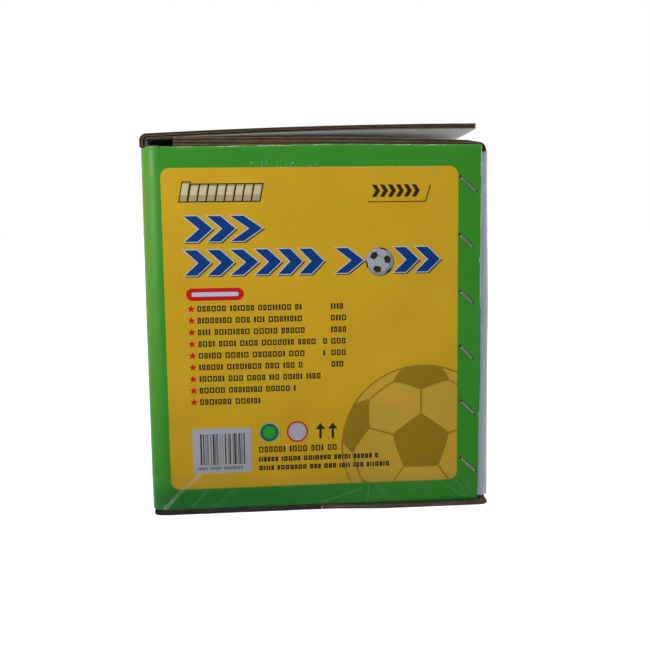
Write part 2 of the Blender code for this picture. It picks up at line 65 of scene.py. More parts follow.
# Levels and faces read from the frame
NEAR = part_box("near_end_panel")[0].y
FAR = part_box("far_end_panel")[1].y
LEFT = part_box("left_side_wall")[0].x
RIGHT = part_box("right_side_wall")[1].x
PANEL_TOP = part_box("near_end_top_flap")[1].z
PANEL_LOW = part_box("near_end_bottom_flap")[0].z
JOINT_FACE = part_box("joint_flap")[0].y
JOINT_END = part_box("joint_flap")[0].x
FLAP_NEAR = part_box("outer_lid_flap")[0].y
FLAP_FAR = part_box("outer_lid_flap")[1].y
JOINTS = {joint["name"]: Vector(joint["pos_m"]) for joint in frame["joints"]}
LID_AXIS = JOINTS["outer_lid_hinge"]
INNER_AXIS = JOINTS["inner_flap_hinge"]

# Folded board
BOARD = 0.0043
CORNER_RADIUS = 0.0115
JOINT_RADIUS = 0.006
FREE_EDGE = RIGHT - 0.0058
CREASE_RADIUS = 0.0030
LOW_CREASE_RADIUS = 0.0016
LOW_EDGE = 0.0031
LEFT_WALL_TOP = 0.2452
RIGHT_WALL_TOP = 0.2412
BULGE_REACH = 0.22

# The print's origin on the near end, and the yellow panel's right and top edges
PRINT_LEFT = -0.1018
PRINT_LOW = 0.0185
YELLOW = (195.3, 213.0)
YELLOW_CORNER = 6.0


def to_x(u):
    return PRINT_LEFT + u * MM


def to_z(v):
    return PRINT_LOW + v * MM


def to_u(x):
    return (x - PRINT_LEFT) / MM


def to_v(z):
    return (z - PRINT_LOW) / MM


def smooth_step(low, high, value):
    share = min(max((value - low) / (high - low), 0.0), 1.0)
    return share * share * (3 - 2 * share)


def hump(value, width):
    """1 where the value is 0, fading out on both sides."""
    return math.exp(-((value / width) ** 2))


def squared(value, power):
    """A sine or cosine that swells a round outline towards a square one; power 1 leaves it round."""
    return math.copysign(abs(value) ** power, value)


def spread(start, end, steps):
    return [start + (end - start) * step / steps for step in range(steps + 1)]


def circle(count):
    """Cosine and sine at even steps of a full turn."""
    angles = [2 * math.pi * step / count for step in range(count)]
    return [(math.cos(angle), math.sin(angle)) for angle in angles]


def quarter(steps):
    """Cosine and sine at even steps of a quarter turn, both ends included."""
    angles = [math.pi / 2 * step / steps for step in range(steps + 1)]
    return [(math.cos(angle), math.sin(angle)) for angle in angles]


def arc(centre, radius, first, last, steps):
    """Points of an arc between two angles in degrees."""
    angles = [math.radians(degrees) for degrees in spread(first, last, steps)]
    return [(centre[0] + radius * math.cos(a), centre[1] + radius * math.sin(a)) for a in angles]


def run_between(start, end):
    return Vector((end[0] - start[0], end[1] - start[1]))


def with_neighbours(points):
    """Each point with the one before it and the one after it; an end point is its own neighbour."""
    points = list(points)
    return list(zip(points[:1] + points, points, points[1:] + points[-1:]))


# Materials


def tone(code):
    """Linear colour of a web colour code."""
    channels = [int(code[spot : spot + 2], 16) / 255 for spot in (0, 2, 4)]
    return tuple(c / 12.92 if c <= 0.04045 else ((c + 0.055) / 1.055) ** 2.4 for c in channels)


def shaded(colour, factor):
    return tuple(channel * factor for channel in colour)


def node(tree, kind, inputs=(), **settings):
    """Adds a node; each input is a value or a socket to link."""
    made = tree.nodes.new(kind)
    for name, value in settings.items():
        setattr(made, name, value)
    for name, value in dict(inputs).items():
        if isinstance(value, bpy.types.NodeSocket):
            tree.links.new(value, made.inputs[name])
        else:
            made.inputs[name].default_value = value
    return made


def new_material(name, colour, roughness, metallic=0.0):
    made = bpy.data.materials.new(name)
    made.use_nodes = True
    made.diffuse_color = (*colour, 1.0)
    shader = made.node_tree.nodes["Principled BSDF"]
    shader.inputs["Base Color"].default_value = (*colour, 1.0)
    shader.inputs["Roughness"].default_value = roughness
    shader.inputs["Metallic"].default_value = metallic
    return made, made.node_tree, shader


def noise(tree, scale, detail, stretch=(1.0, 1.0, 1.0)):
    """Noise over the piece's own coordinates, 0 to 1."""
    place = node(tree, "ShaderNodeTexCoord").outputs["Object"]
    mapped = node(tree, "ShaderNodeMapping", {"Vector": place, "Scale": stretch}).outputs["Vector"]
    inputs = {"Vector": mapped, "Scale": scale, "Detail": detail}
    return node(tree, "ShaderNodeTexNoise", inputs).outputs["Fac"]


def remap(tree, value, low, high, start=0.3, end=0.7):
    inputs = {"Value": value, "From Min": start, "From Max": end, "To Min": low, "To Max": high}
    return node(tree, "ShaderNodeMapRange", inputs).outputs["Result"]


def calculated(tree, operation, *values):
    return node(tree, "ShaderNodeMath", dict(enumerate(values)), operation=operation).outputs[0]


def mixed(tree, share, first, second):
    return node(tree, "ShaderNodeMixShader", {0: share, 1: first, 2: second}).outputs["Shader"]


def cover(tree, surface):
    tree.links.new(surface, tree.nodes["Material Output"].inputs["Surface"])


def tinted(tree, first, second, share):
    """The first colour turning into the second as the share goes from 0 to 1."""
    made = node(tree, "ShaderNodeMix", data_type="RGBA")
    for socket, value in zip(("A_Color", "B_Color"), (first, second)):
        target = next(s for s in made.inputs if s.identifier == socket)
        if isinstance(value, bpy.types.NodeSocket):
            tree.links.new(value, target)
        else:
            target.default_value = (*value, 1.0)
    tree.links.new(share, next(s for s in made.inputs if s.identifier == "Factor_Float"))
    return next(s for s in made.outputs if s.identifier == "Result_Color")


def bump(tree, shader, height, distance):
    made = node(tree, "ShaderNodeBump", {"Height": height, "Distance": distance})
    tree.links.new(made.outputs["Normal"], shader.inputs["Normal"])


def mottled(name, colour, roughness, mottle, shades, grain, depth, metallic=0.0, gloss=None, over=None):
    """A finish whose colour varies between two shades, with a fine grain.

    mottle and grain are noises as scale, detail and stretch. gloss is a noise scale and two roughnesses, and
    over paints what lies on the mottled colour.
    """
    made, tree, shader = new_material(name, colour, roughness, metallic)
    low, high = (shaded(colour, shade) for shade in shades)
    base = tinted(tree, low, high, remap(tree, noise(tree, *mottle), 0.0, 1.0))
    if over:
        base = over(tree, base)
    tree.links.new(base, shader.inputs["Base Color"])
    if gloss:
        scale, smoother, rougher = gloss
        varied = remap(tree, noise(tree, scale, 3.0), smoother, rougher)
        tree.links.new(varied, shader.inputs["Roughness"])
    bump(tree, shader, noise(tree, *grain), depth)
    return made


FINE = 0.00002
ALONG = (1.0, 0.1, 1.0)


def ink(name, code, roughness=0.42, over=None):
    """Litho ink under a thin varnish."""
    gloss = (60.0, roughness - 0.05, roughness + 0.07)
    mottle, grain = (28.0, 4.0), (1400.0, 2.0)
    made = mottled(name, tone(code), roughness, mottle, (0.95, 1.05), grain, FINE, gloss=gloss, over=over)
    made.node_tree.nodes["Principled BSDF"].inputs["Specular IOR Level"].default_value = 0.12
    return made


def paper(name, code, roughness=0.72):
    """Unprinted liner with faint fibres."""

    def flecked(tree, base):
        flecks = remap(tree, noise(tree, 900.0, 1.0, (1.0, 1.0, 0.25)), 0.0, 0.35, 0.66, 0.74)
        return tinted(tree, base, shaded(tone(code), 0.72), flecks)

    mottle, grain = (45.0, 5.0), (1100.0, 2.0)
    return mottled(name, tone(code), roughness, mottle, (0.97, 1.02), grain, 0.00004, over=flecked)


def kraft(name, share=1.0, code="6A5440"):
    """Cut or torn brown board, darkened to a share of its tone."""
    mottle, grain = (500.0, 4.0, (0.2, 1.0, 1.0)), (1800.0, 2.0)
    return mottled(name, shaded(tone(code), share), 0.85, mottle, (0.55, 1.35), grain, 0.0001)


def metal(name, colour, roughness):
    gloss = (300.0, roughness * 0.7, roughness * 1.4)
    mottle, grain = (700.0, 3.0, (1.0, 0.15, 1.0)), (1500.0, 2.0)
    return mottled(name, colour, roughness, mottle, (0.8, 1.0), grain, FINE, metallic=1.0, gloss=gloss)


def plastic(name, colour, roughness):
    return mottled(name, colour, roughness, (200.0, 3.0, ALONG), (0.94, 1.0), (900.0, 2.0, ALONG), FINE)


def film(name, haze, roughness, tint=0.98):
    """Clear packing film: what is behind shows through, and the surface mirrors the light."""
    made, tree, shader = new_material(name, (0.92, 0.95, 1.0), roughness, 1.0)
    clear = node(tree, "ShaderNodeBsdfTransparent", {"Color": (tint, tint, tint, 1.0)})
    facing = node(tree, "ShaderNodeLayerWeight", {"Blend": 0.5}).outputs["Facing"]
    patchy = remap(tree, noise(tree, 90.0, 4.0), haze * 0.4, haze * 1.6)
    share = calculated(tree, "MULTIPLY_ADD", calculated(tree, "POWER", facing, 5.0), 0.25, patchy)
    cover(tree, mixed(tree, share, clear.outputs["BSDF"], shader.outputs["BSDF"]))
    bump(tree, shader, noise(tree, 160.0, 3.0, (1.0, 1.0, 0.4)), 0.0002)
    return made


def green_painted_sheen_and_shade(tree, base):
    """The green lighter up the near left fold, by a painted highlight and rubbed ink, and deeper at the foot,
    by painted shade and the film wetting the print.
    """
    place = node(tree, "ShaderNodeTexCoord").outputs["Object"]
    spot = node(tree, "ShaderNodeSeparateXYZ", {"Vector": place}).outputs
    near = remap(tree, spot["Y"], 1.0, 0.0, NEAR + 0.015, NEAR + 0.06)
    fold = remap(tree, spot["X"], 1.0, 0.0, LEFT + 0.003, LEFT + 0.0095)
    up = remap(tree, spot["Z"], 0.0, 1.0, 0.02, 0.16)
    foot = remap(tree, spot["Z"], 1.0, 0.0, 0.014, 0.022)
    left = remap(tree, spot["X"], 1.0, 0.25, -0.03, 0.04)
    # Painted light: the lime green is a highlight up the left fold, stronger towards the top, and the deep
    # green is shade at the foot, more at the left.
    for colour, shares in ((tone("4C8028"), (near, fold, up)), (tone("17691F"), (near, foot, left))):
        part = calculated(tree, "MULTIPLY", calculated(tree, "MULTIPLY", *shares[:2]), shares[2])
        base = tinted(tree, base, colour, part)
    return base


INKS = {
    "yellow": "BA951C",
    "ball_light": "B39132",
    "ball_dark": "866A12",
    "ball_line": "8E7016",
    "blue": "00306F",
    "red": "B30F16",
    "dark": "231A0C",
    "shadow": "4A3A14",
    "plate": "9A8F66",
    "shine": "B9B38F",
    "label": "9A9DA8",
    "rim": "A9B3C6",
    "pale_ball": "949BA6",
    "shaded_ball": "767E89",
    "grey": "6E6A66",
    "lime": "2C8A26",
    "teal": "0C5C44",
}
FINISH = {name: ink(f"{name}_print", code) for name, code in INKS.items()}
FINISH.update({
    "green": ink("green_print", "2F7D20", over=green_painted_sheen_and_shade),
    "scuff": ink("scuffed_varnish", "62A083", 0.5),
    # Painted highlight: pale green for the light that the film's creases catch, drawn on the print beneath
    # them.
    "rubbed": ink("rubbed_print", "A8A05A", 0.5),
    "crease": ink("painted_crease_glint", "6BA675", 0.5),
    "white": paper("white_liner", "EBEEF6"),
    "pale": paper("clean_liner", "ECEDEA"),
    "raw": paper("torn_paper", "B9C4B4", 0.9),
    # Painted shade: near black kraft for the inside of the wire's slits.
    "pit": kraft("staple_hole", code="1E1712"),
    "kraft": kraft("cut_board"),
    "flute": kraft("cut_flutes", 0.5),
    # Dark kraft for the lid's cut, and for the strip along the joint's cut edge, which is partly painted
    # shade.
    "worn": kraft("worn_board", 0.5),
    # Painted shade: near black kraft for the shadow inside the cut board, and in the mouth of the near left
    # fold.
    "core": kraft("painted_shade_dark_board", 0.16),
    # Painted shade: a near black kraft for the bottom flaps' undersides and the left one's cut, in the shadow
    # at the foot.
    "soiled": kraft("soiled_board", 0.12),
    "film": film("clear_film", 0.003, 0.12, 0.984),
    "tail_film": film("thin_film", 0.0004, 0.3, 0.994),
    "milky_film": film("folded_film", 0.03, 0.2),
    "bag": film("bag_film", 0.02, 0.15),
    "steel": metal("stitching_wire", (0.145, 0.135, 0.13), 0.42),
    "zinc": metal("zinc_rod", (0.55, 0.56, 0.58), 0.35),
    "pole": plastic("pole_plastic", (0.75, 0.75, 0.73), 0.35),
    "cord": plastic("net_cord", (0.78, 0.78, 0.75), 0.6),
    # Painted shade: a darker copy of the cord's colour, for the deeper cords of the bundle.
    "cord_deep": plastic("packed_cord_painted_shade", (0.6, 0.6, 0.58), 0.8),
    "clip": plastic("clip_plastic", (0.80, 0.80, 0.78), 0.4),
})


# Mesh building


def linked(name, data):
    made = bpy.data.objects.new(name, data)
    bpy.context.scene.collection.objects.link(made)
    return made


class Shape:
    """Points and faces of one piece, with a finish for each face."""

    def __init__(self):
        self.points = []
        self.faces = []
        self.finishes = []

    def face(self, corners, finish):
        self.faces.append(corners)
        self.finishes.append(finish)

    def loft(self, loops, finish, closed=True, cap="kraft"):
        """Joins equal loops of points. finish is a name, or a function of loop and point number."""
        rings = []
        for loop in loops:
            rings.append(range(len(self.points), len(self.points) + len(loop)))
            self.points.extend(loop)
        count = len(loops[0])
        for row, (one, two) in enumerate(zip(rings, rings[1:])):
            for spot in range(count if closed else count - 1):
                after = (spot + 1) % count
                name = finish(row, spot) if callable(finish) else finish
                self.face((one[spot], one[after], two[after], two[spot]), name)
        if closed:
            for ring in (rings[0], rings[-1]):
                for spot in range(count // 2 - 1):
                    other = count - 1 - spot
                    self.face((ring[spot], ring[spot + 1], ring[other - 1], ring[other]), cap)

    def build(self, name, slot, angle=35.0, outward=True, thickness=0.0):
        mesh = bpy.data.meshes.new(name)
        mesh.from_pydata([tuple(p) for p in self.points], [], self.faces)
        used = sorted(set(self.finishes))
        for finish in used:
            mesh.materials.append(FINISH[finish])
        mesh.polygons.foreach_set("material_index", [used.index(f) for f in self.finishes])
        shape = bmesh.new()
        shape.from_mesh(mesh)
        bmesh.ops.dissolve_degenerate(shape, edges=shape.edges, dist=1e-7)
        if thickness:
            bmesh.ops.solidify(shape, geom=shape.faces[:], thickness=thickness)
        if outward:
            bmesh.ops.recalc_face_normals(shape, faces=shape.faces)
        shape.to_mesh(mesh)
        shape.free()
        mesh.shade_smooth()
        mesh.set_sharp_from_angle(angle=math.radians(angle))
        made = linked(name, mesh)
        return made


# The sleeve: near panel, left wall, far panel, right wall and joint flap, folded from one blank

# Staple crowns, from upper left end to lower right end, in print millimetres
STAPLES = (
    ((197.4, 205.4), (207.2, 196.2)),
    ((197.0, 167.2), (205.4, 159.1)),
    ((197.4, 129.3), (205.3, 121.9)),
    ((197.9, 91.9), (205.5, 83.5)),
    ((198.5, 54.1), (207.0, 45.5)),
    ((198.4, 14.1), (208.5, 4.8)),
)
DENT, DENT_WIDTH = 0.28, 3.2
NICKS = (45.0, 151.0)
NICK, NICK_WIDTH = 0.6, 1.3
STITCH_ZONE = 0.022
PRINT_GRID = 0.004
FOOT_TUCK = 0.0013
FOOT_LEVELS = (0.0035, 0.0215)
SLEEVE_ROWS = 150
CREASE_STEPS = 6

# In millimetres, how far the walls stand out at the near end's foot and what they lose by the top
RIGHT_BULGE, RIGHT_LOSS = 3.1, 1.9
LEFT_BULGE, LEFT_LOSS = 1.5, 0.7

# A swelling of the right wall in millimetres, with its level and reach in metres
KNOCK, KNOCK_LEVEL, KNOCK_REACH = 0.85, 0.145, 0.05


def from_segment(u, v, start, end):
    """Distance from a point to a segment, and how far along the nearest point lies."""
    du, dv = end[0] - start[0], end[1] - start[1]
    share = ((u - start[0]) * du + (v - start[1]) * dv) / (du * du + dv * dv)
    share = min(max(share, 0.0), 1.0)
    return math.hypot(u - start[0] - share * du, v - start[1] - share * dv), share


def foot_tuck(z):
    """How far the printed end turns in towards its bottom fold."""
    return FOOT_TUCK * (1 - smooth_step(*FOOT_LEVELS, z))


def near_swell(x, z):
    """How far the printed end stands out: slow waves, dents round the staples, and a tucked foot."""
    u, v = to_u(x), to_v(z)
    inside = smooth_step(-8, 14, u) * smooth_step(0, 10, 209 - u)
    inside *= smooth_step(-14, 6, v) * smooth_step(0, 14, 227 - v)
    wave = 0.22 * math.sin(u / 31.0 + 0.6) * math.sin(v / 42.0 + 0.4)
    wave += 0.10 * math.sin(u / 13.0 + v / 29.0) + 0.25
    push = wave * inside
    for start, end in STAPLES:
        push -= DENT * hump(from_segment(u, v, start, end)[0], DENT_WIDTH)
    return push * MM - foot_tuck(z)


def free_edge(z):
    """The near panel's cut edge at the stitched joint, with two small nicks."""
    v = to_v(z)
    u = 210.3 + 0.5 * smooth_step(10, 80, v) + 0.1 * smooth_step(120, 220, v)
    u += 0.1 * math.sin(v / 9.0)
    for spot in NICKS:
        u -= NICK * hump(v - spot, NICK_WIDTH)
    return to_x(u)


def wall_swell(y, z):
    """Slow waves of the long walls, fading out at their ends and at the foot."""
    wave = (0.5 * math.sin(y * 19.0) + 0.3 * math.sin(y * 47.0 + z * 30.0)) * MM
    return wave * smooth_step(0, 0.04, min(y - NEAR, FAR - y)) * smooth_step(0, 0.03, z)


def stitched_end(y):
    """1 at the near end, fading out along the walls."""
    return 1 - smooth_step(NEAR + 0.01, NEAR + BULGE_REACH, y)


def right_bulge(y, z):
    """How far the right wall stands out at the stitched end; more at the bottom."""
    out = RIGHT_BULGE - RIGHT_LOSS * smooth_step(0.0, 0.25, z) + KNOCK * hump(z - KNOCK_LEVEL, KNOCK_REACH)
    return stitched_end(y) * out * MM


def left_bulge(y, z):
    """How far the left wall stands out at the near end."""
    return stitched_end(y) * (LEFT_BULGE - LEFT_LOSS * smooth_step(0.12, 0.25, z)) * MM


def left_shift(x, y, z):
    """The left bulge: whole on the wall's face, none where the upright fold meets the printed end."""
    return left_bulge(y, z) * (1 - smooth_step(LEFT, LEFT + CORNER_RADIUS, x))


def sleeve_stations():
    """Plan points of the outer face with their outward normals and the panel they belong to."""
    stations = []

    def straight(panel, start, end, normal, steps):
        for step in range(steps):
            share = (step + 0.5) / steps if panel != "near" else step / (steps - 1)
            spot = [a + (b - a) * share for a, b in zip(start, end)]
            stations.append((panel, spot, normal))

    def fold(panel, centre, radius, first, last, steps=10):
        for x, y in arc(centre, radius, first, last, steps):
            stations.append((panel, (x, y), ((x - centre[0]) / radius, (y - centre[1]) / radius)))

    c = CORNER_RADIUS
    stitched = FREE_EDGE - STITCH_ZONE
    joint = (RIGHT - JOINT_RADIUS, JOINT_FACE + JOINT_RADIUS)
    straight("near", (FREE_EDGE, NEAR), (stitched, NEAR), (0, -1), 20)
    straight("near", (stitched - PRINT_GRID, NEAR), (LEFT + c, NEAR), (0, -1), 50)
    fold("near_left", (LEFT + c, NEAR + c), c, 270, 180, 12)
    straight("left", (LEFT, NEAR + c), (LEFT, FAR - c), (-1, 0), 48)
    fold("far_left", (LEFT + c, FAR - c), c, 180, 90)
    straight("far", (LEFT + c, FAR), (RIGHT - c, FAR), (0, 1), 30)
    fold("far_right", (RIGHT - c, FAR - c), c, 90, 0)
    straight("right", (RIGHT, FAR - c), (RIGHT, joint[1]), (1, 0), 48)
    fold("near_right", joint, JOINT_RADIUS, 0, -90)
    straight("joint", (joint[0], JOINT_FACE), (JOINT_END, JOINT_FACE), (0, -1), 6)
    return stations


def sleeve_point(panel, spot, normal, z, depth):
    """A point on the sleeve, some way in from its outer face."""
    x, y = spot
    nx, ny = normal
    push = 0.0
    if panel == "near":
        x += (free_edge(z) - FREE_EDGE) * smooth_step(FREE_EDGE - 0.03, FREE_EDGE, x)
        push = near_swell(x, z)
    elif panel in ("left", "right"):
        push = wall_swell(y, z)
    if panel in ("left", "near_left"):
        x -= left_shift(x, y, z)
    if panel == "near_left":
        push -= foot_tuck(z) * abs(ny)
    if panel in ("right", "near_right"):
        x += right_bulge(y, z)
    if panel == "joint":
        x += right_bulge(y, z) * smooth_step(JOINT_END, RIGHT - JOINT_RADIUS, x)
    return (x + nx * (push - depth), y + ny * (push - depth), z)


def sleeve_ends(panel, x):
    """Lowest and highest level of the sleeve at a station, and whether it turns in over a flap."""
    u = to_u(x)
    if panel in ("near", "far"):
        folded = smooth_step(-6.2, -5.0, u)
        rise = 0.8 * hump(u - 120, 38) - 0.2 + 0.35 * smooth_step(20, 60, u)
        rise += 0.16 * math.sin(u / 4.1) * math.sin(u / 1.7)
        low = LOW_EDGE - 0.0005 * smooth_step(90, 150, u)
        return low, PANEL_TOP + rise * MM * folded, folded
    if panel in ("near_left", "far_left"):
        return LOW_EDGE, PANEL_TOP - 0.0012 * (1 - smooth_step(-11.8, -6.0, u)), 0.0
    if panel == "left":
        return LOW_EDGE, LEFT_WALL_TOP, 0.0
    if panel == "right":
        return LOW_EDGE - 0.0003, RIGHT_WALL_TOP, 0.0
    return PANEL_LOW, RIGHT_WALL_TOP + 0.0006, 0.0


def make_sleeve():
    shape = Shape()
    loops = []
    stations = sleeve_stations()
    for panel, spot, normal in stations:
        low, top, folded = sleeve_ends(panel, spot[0])
        flat_low = low + LOW_CREASE_RADIUS * folded
        flat_top = top - CREASE_RADIUS * folded
        # Level and inset of the outer face, and level of the inner face
        rows = []
        for c, s in quarter(CREASE_STEPS)[:0:-1]:
            inset = LOW_CREASE_RADIUS * (1 - c) * folded
            rows.append((flat_low - LOW_CREASE_RADIUS * s * folded, inset, flat_low))
        rows += [(z, 0.0, z) for z in spread(flat_low, flat_top, SLEEVE_ROWS)]
        for c, s in quarter(CREASE_STEPS)[1:]:
            inset = CREASE_RADIUS * (1 - c) * folded
            rows.append((flat_top + CREASE_RADIUS * s * folded, inset, flat_top))
        outer = [sleeve_point(panel, spot, normal, z, inset) for z, inset, _ in rows]
        inner = [sleeve_point(panel, spot, normal, level, BOARD) for _, _, level in rows]
        loops.append(outer + inner[::-1])
    half = len(loops[0]) // 2
    printed = [panel not in ("right", "near_right", "joint") for panel, _, _ in stations]
    shaded_mouth = [x < LEFT + 0.02 and y < NEAR + 0.03 for _, (x, y), _ in stations]

    def finish(row, spot):
        if spot < half - 1:
            return "green" if printed[row] else "white"
        if spot in (half - 1, 2 * half - 1):
            return "kraft"
        # Painted shade: the inner liner in the mouth of the near left fold takes the near black core finish.
        if shaded_mouth[row] and spot < half + 12:
            return "core"
        return "white"

    shape.loft(loops, finish)
    made = shape.build("carton_sleeve", "printed_board", angle=50)
    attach(made, "carton")
    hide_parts("near_end_panel", "left_side_wall", "far_end_panel", "right_side_wall", "joint_flap")


# Outlines of the print

LAYER = 0.00003
FOLLOW = 2.5


def box_outline(u0, u1, v0, v1):
    return [(u0, v0), (u1, v0), (u1, v1), (u0, v1)]


def rounded_box(u0, u1, v0, v1, radius, steps=5):
    radius = min(radius, (u1 - u0) / 2, (v1 - v0) / 2)
    outline = []
    corners = ((u1 - radius, v0 + radius, -90), (u1 - radius, v1 - radius, 0))
    corners += ((u0 + radius, v1 - radius, 90), (u0 + radius, v0 + radius, 180))
    for u, v, first in corners:
        outline += arc((u, v), radius, first, first + 90, steps)
    return outline


def disc(centre, radius, steps=40):
    return arc(centre, radius, 0, 360, steps)[:-1]


def star(centre, radius):
    outline = []
    for step in range(10):
        angle = math.radians(90 + 36 * step)
        reach = radius if step % 2 == 0 else radius * 0.42
        outline.append((centre[0] + reach * math.cos(angle), centre[1] + reach * math.sin(angle)))
    return outline


def slanted(u0, u1, v0, v1):
    """A block whose sides lean to the right."""
    shift = (v1 - v0) * 0.2
    return [(u0, v0), (u1 - shift, v0), (u1, v1), (u0 + shift, v1)]


def chevron(u0, u1, v0, v1, arm):
    """An arrowhead that points right."""
    middle = (v0 + v1) / 2
    return [(u0, v0), (u0 + arm, v0), (u1, middle), (u0 + arm, v1), (u0, v1), (u1 - arm, middle)]


def grown(outline, by):
    """The outline moved out by a distance, with mitred corners."""
    result = []
    count = len(outline)
    for spot in range(count):
        before, here, after = (Vector(outline[(spot + turn) % count]) for turn in (-1, 0, 1))
        one = (here - before).normalized()
        two = (after - here).normalized()
        out_one = Vector((one.y, -one.x))
        out_two = Vector((two.y, -two.x))
        mitre = (out_one + out_two).normalized()
        reach = min(by / max(mitre.dot(out_one), 0.2), by * 2.2)
        result.append(tuple(here + mitre * reach))
    return result


def moved(outline, du, dv):
    return [(u + du, v + dv) for u, v in outline]


def clipped(outline, window):
    """The part of an outline inside a convex window."""
    result = list(outline)
    for spot, start in enumerate(window):
        end = window[(spot + 1) % len(window)]

        def inside(point, start=start, end=end):
            cross = (end[0] - start[0]) * (point[1] - start[1])
            return cross - (end[1] - start[1]) * (point[0] - start[0])

        kept = []
        for number, point in enumerate(result):
            before = result[number - 1]
            here, there = inside(point), inside(before)
            if (here >= 0) != (there >= 0):
                share = there / (there - here)
                kept.append(tuple(b + (p - b) * share for b, p in zip(before, point)))
            if here >= 0:
                kept.append(point)
        result = kept
        if len(result) < 3:
            return []
    return result


def within(outline, centre, radius):
    """The outline with its points drawn in to the rim of a disc."""
    drawn = []
    for u, v in outline:
        pull = radius / max(math.hypot(u - centre[0], v - centre[1]), radius)
        drawn.append((centre[0] + (u - centre[0]) * pull, centre[1] + (v - centre[1]) * pull))
    return drawn


def stroke(points, half):
    """A line of even width as an outline."""
    if len(points) < 2:
        return []
    sides = []
    for before, point, after in with_neighbours(points):
        along = run_between(before, after)
        if along.length < 1e-6:
            return []
        along.normalize()
        sides.append((point, (along.y * half, -along.x * half)))
    right = [(p[0] + o[0], p[1] + o[1]) for p, o in sides]
    left = [(p[0] - o[0], p[1] - o[1]) for p, o in sides]
    return right + left[::-1]


# Degrees between neighbouring pentagons of a football, and from a pentagon to a hexagon beside it
NEIGHBOUR = 63.43
TO_HEXAGON = 37.38


def football(turn, reach):
    """Pentagons and seams of a ball as runs of unit vectors; unturned, a pentagon faces the viewer."""
    middles = [Vector((0, 0, 1)), Vector((0, 0, -1))]
    for number in range(5):
        for polar, lead in ((NEIGHBOUR, 90), (180 - NEIGHBOUR, 126)):
            side, up = math.radians(lead + 72 * number), math.radians(polar)
            flat = math.sin(up)
            middles.append(Vector((flat * math.cos(side), flat * math.sin(side), math.cos(up))))
    middles = [turn @ middle for middle in middles]

    def between(one, two, degrees):
        return one.slerp(two, degrees / NEIGHBOUR)

    pentagons, seams = [], []
    for number, one in enumerate(middles):
        near = [v for v in middles if 1 < math.degrees(one.angle(v)) < NEIGHBOUR + 5]
        side = one.orthogonal().normalized()
        other = one.cross(side)
        near.sort(key=lambda v: math.atan2(v.dot(other), v.dot(side)))
        tips = [between(one, v, reach) for v in near]
        outline = []
        for tip, after in zip(tips, tips[1:] + tips[:1]):
            outline += [tip.slerp(after, step / 6) for step in range(6)]
        pentagons.append(outline)
        for two in middles[number + 1 :]:
            if math.degrees(one.angle(two)) < NEIGHBOUR + 5:
                span = NEIGHBOUR - 2 * reach
                seams.append([between(one, two, reach + span * step / 6) for step in range(7)])
    return pentagons, seams


def on_disc(points, centre, radius):
    """The points seen straight on; points behind the rim are drawn at the rim."""
    if max(point.z for point in points) <= 0:
        return []
    seen = []
    for point in points:
        flat = Vector((point.x, point.y))
        if point.z < 0:
            flat.normalize()
        seen.append((centre[0] + flat.x * radius, centre[1] + flat.y * radius))
    return seen


# The print on both ends


class Print:
    """Ink shapes in print millimetres, laid over one end of the carton in thin layers."""

    def __init__(self, end="near"):
        self.mesh = bmesh.new()
        self.used = []
        self.end = end

    def shape(self, outline, finish, layer):
        if len(outline) < 3:
            return
        if finish not in self.used:
            self.used.append(finish)
        corners = [self.mesh.verts.new((u, layer, v)) for u, v in outline]
        face = self.mesh.faces.new(corners)
        face.normal_update()
        face.material_index = self.used.index(finish)

    def band(self, outer, inner, finish, layer):
        """The ring between two outlines of equal count."""
        for spot in range(len(outer)):
            after = (spot + 1) % len(outer)
            self.shape([outer[spot], outer[after], inner[after], inner[spot]], finish, layer)

    def build(self, name):
        """Cuts the shapes into small faces and lays them on the swelling end."""
        bmesh.ops.triangulate(self.mesh, faces=self.mesh.faces, ngon_method="EAR_CLIP")
        for axis, normal in ((0, (1, 0, 0)), (2, (0, 0, 1))):
            spots = [vertex.co[axis] for vertex in self.mesh.verts]
            for line in range(math.floor(min(spots) / FOLLOW), math.ceil(max(spots) / FOLLOW) + 1):
                everything = self.mesh.verts[:] + self.mesh.edges[:] + self.mesh.faces[:]
                place = [line * FOLLOW * part for part in normal]
                bmesh.ops.bisect_plane(self.mesh, geom=everything, dist=1e-4, plane_co=place, plane_no=normal)
        for vertex in self.mesh.verts:
            u, layer, v = vertex.co
            x, z = to_x(u), to_z(v)
            if self.end == "near":
                vertex.co = (x, NEAR - near_swell(x, z) - layer * LAYER, z)
            else:
                vertex.co = (-x, FAR + layer * LAYER, z)
        name = f"{self.end}_{name}"
        mesh = bpy.data.meshes.new(name)
        self.mesh.to_mesh(mesh)
        self.mesh.free()
        for finish in self.used:
            mesh.materials.append(FINISH[finish])
        made = linked(name, mesh)
        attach(made, "carton")


YELLOW_OUTLINE = rounded_box(0.3, YELLOW[0], -0.35, YELLOW[1], YELLOW_CORNER, 8)


def make_panel_print(end):
    panel = Print(end)
    panel.shape(YELLOW_OUTLINE, "yellow", 1)
    panel.build("yellow_panel_print")


# The title's arrowheads: the reach of each across the panel, then the line's levels and the arrowheads' arm
FIRST_LINE = ((14.5, 32.5), (29.5, 47.5), (44.5, 65.0))
SECOND_LINE = ((14, 31), (29, 46), (44, 62), (60, 77), (75, 91), (89, 105))
SECOND_LINE += ((113, 131.5), (152, 168.5), (166.5, 183))
TITLE_LINES = ((FIRST_LINE, 165.5, 182.0, 8.4), (SECOND_LINE, 143.5, 160.0, 8.0))
TITLE_BALL, TITLE_BALL_RADIUS, TITLE_PENTAGON = (142.3, 150.8), 9.2, 19.5
RIM = 0.6
SHADOW_SHIFT, BALL_SHADOW_SHIFT = (0.85, -0.7), (0.5, -0.5)
PALE_SHIFT, PALE_INSET = (-0.9, 0.9), 1.3


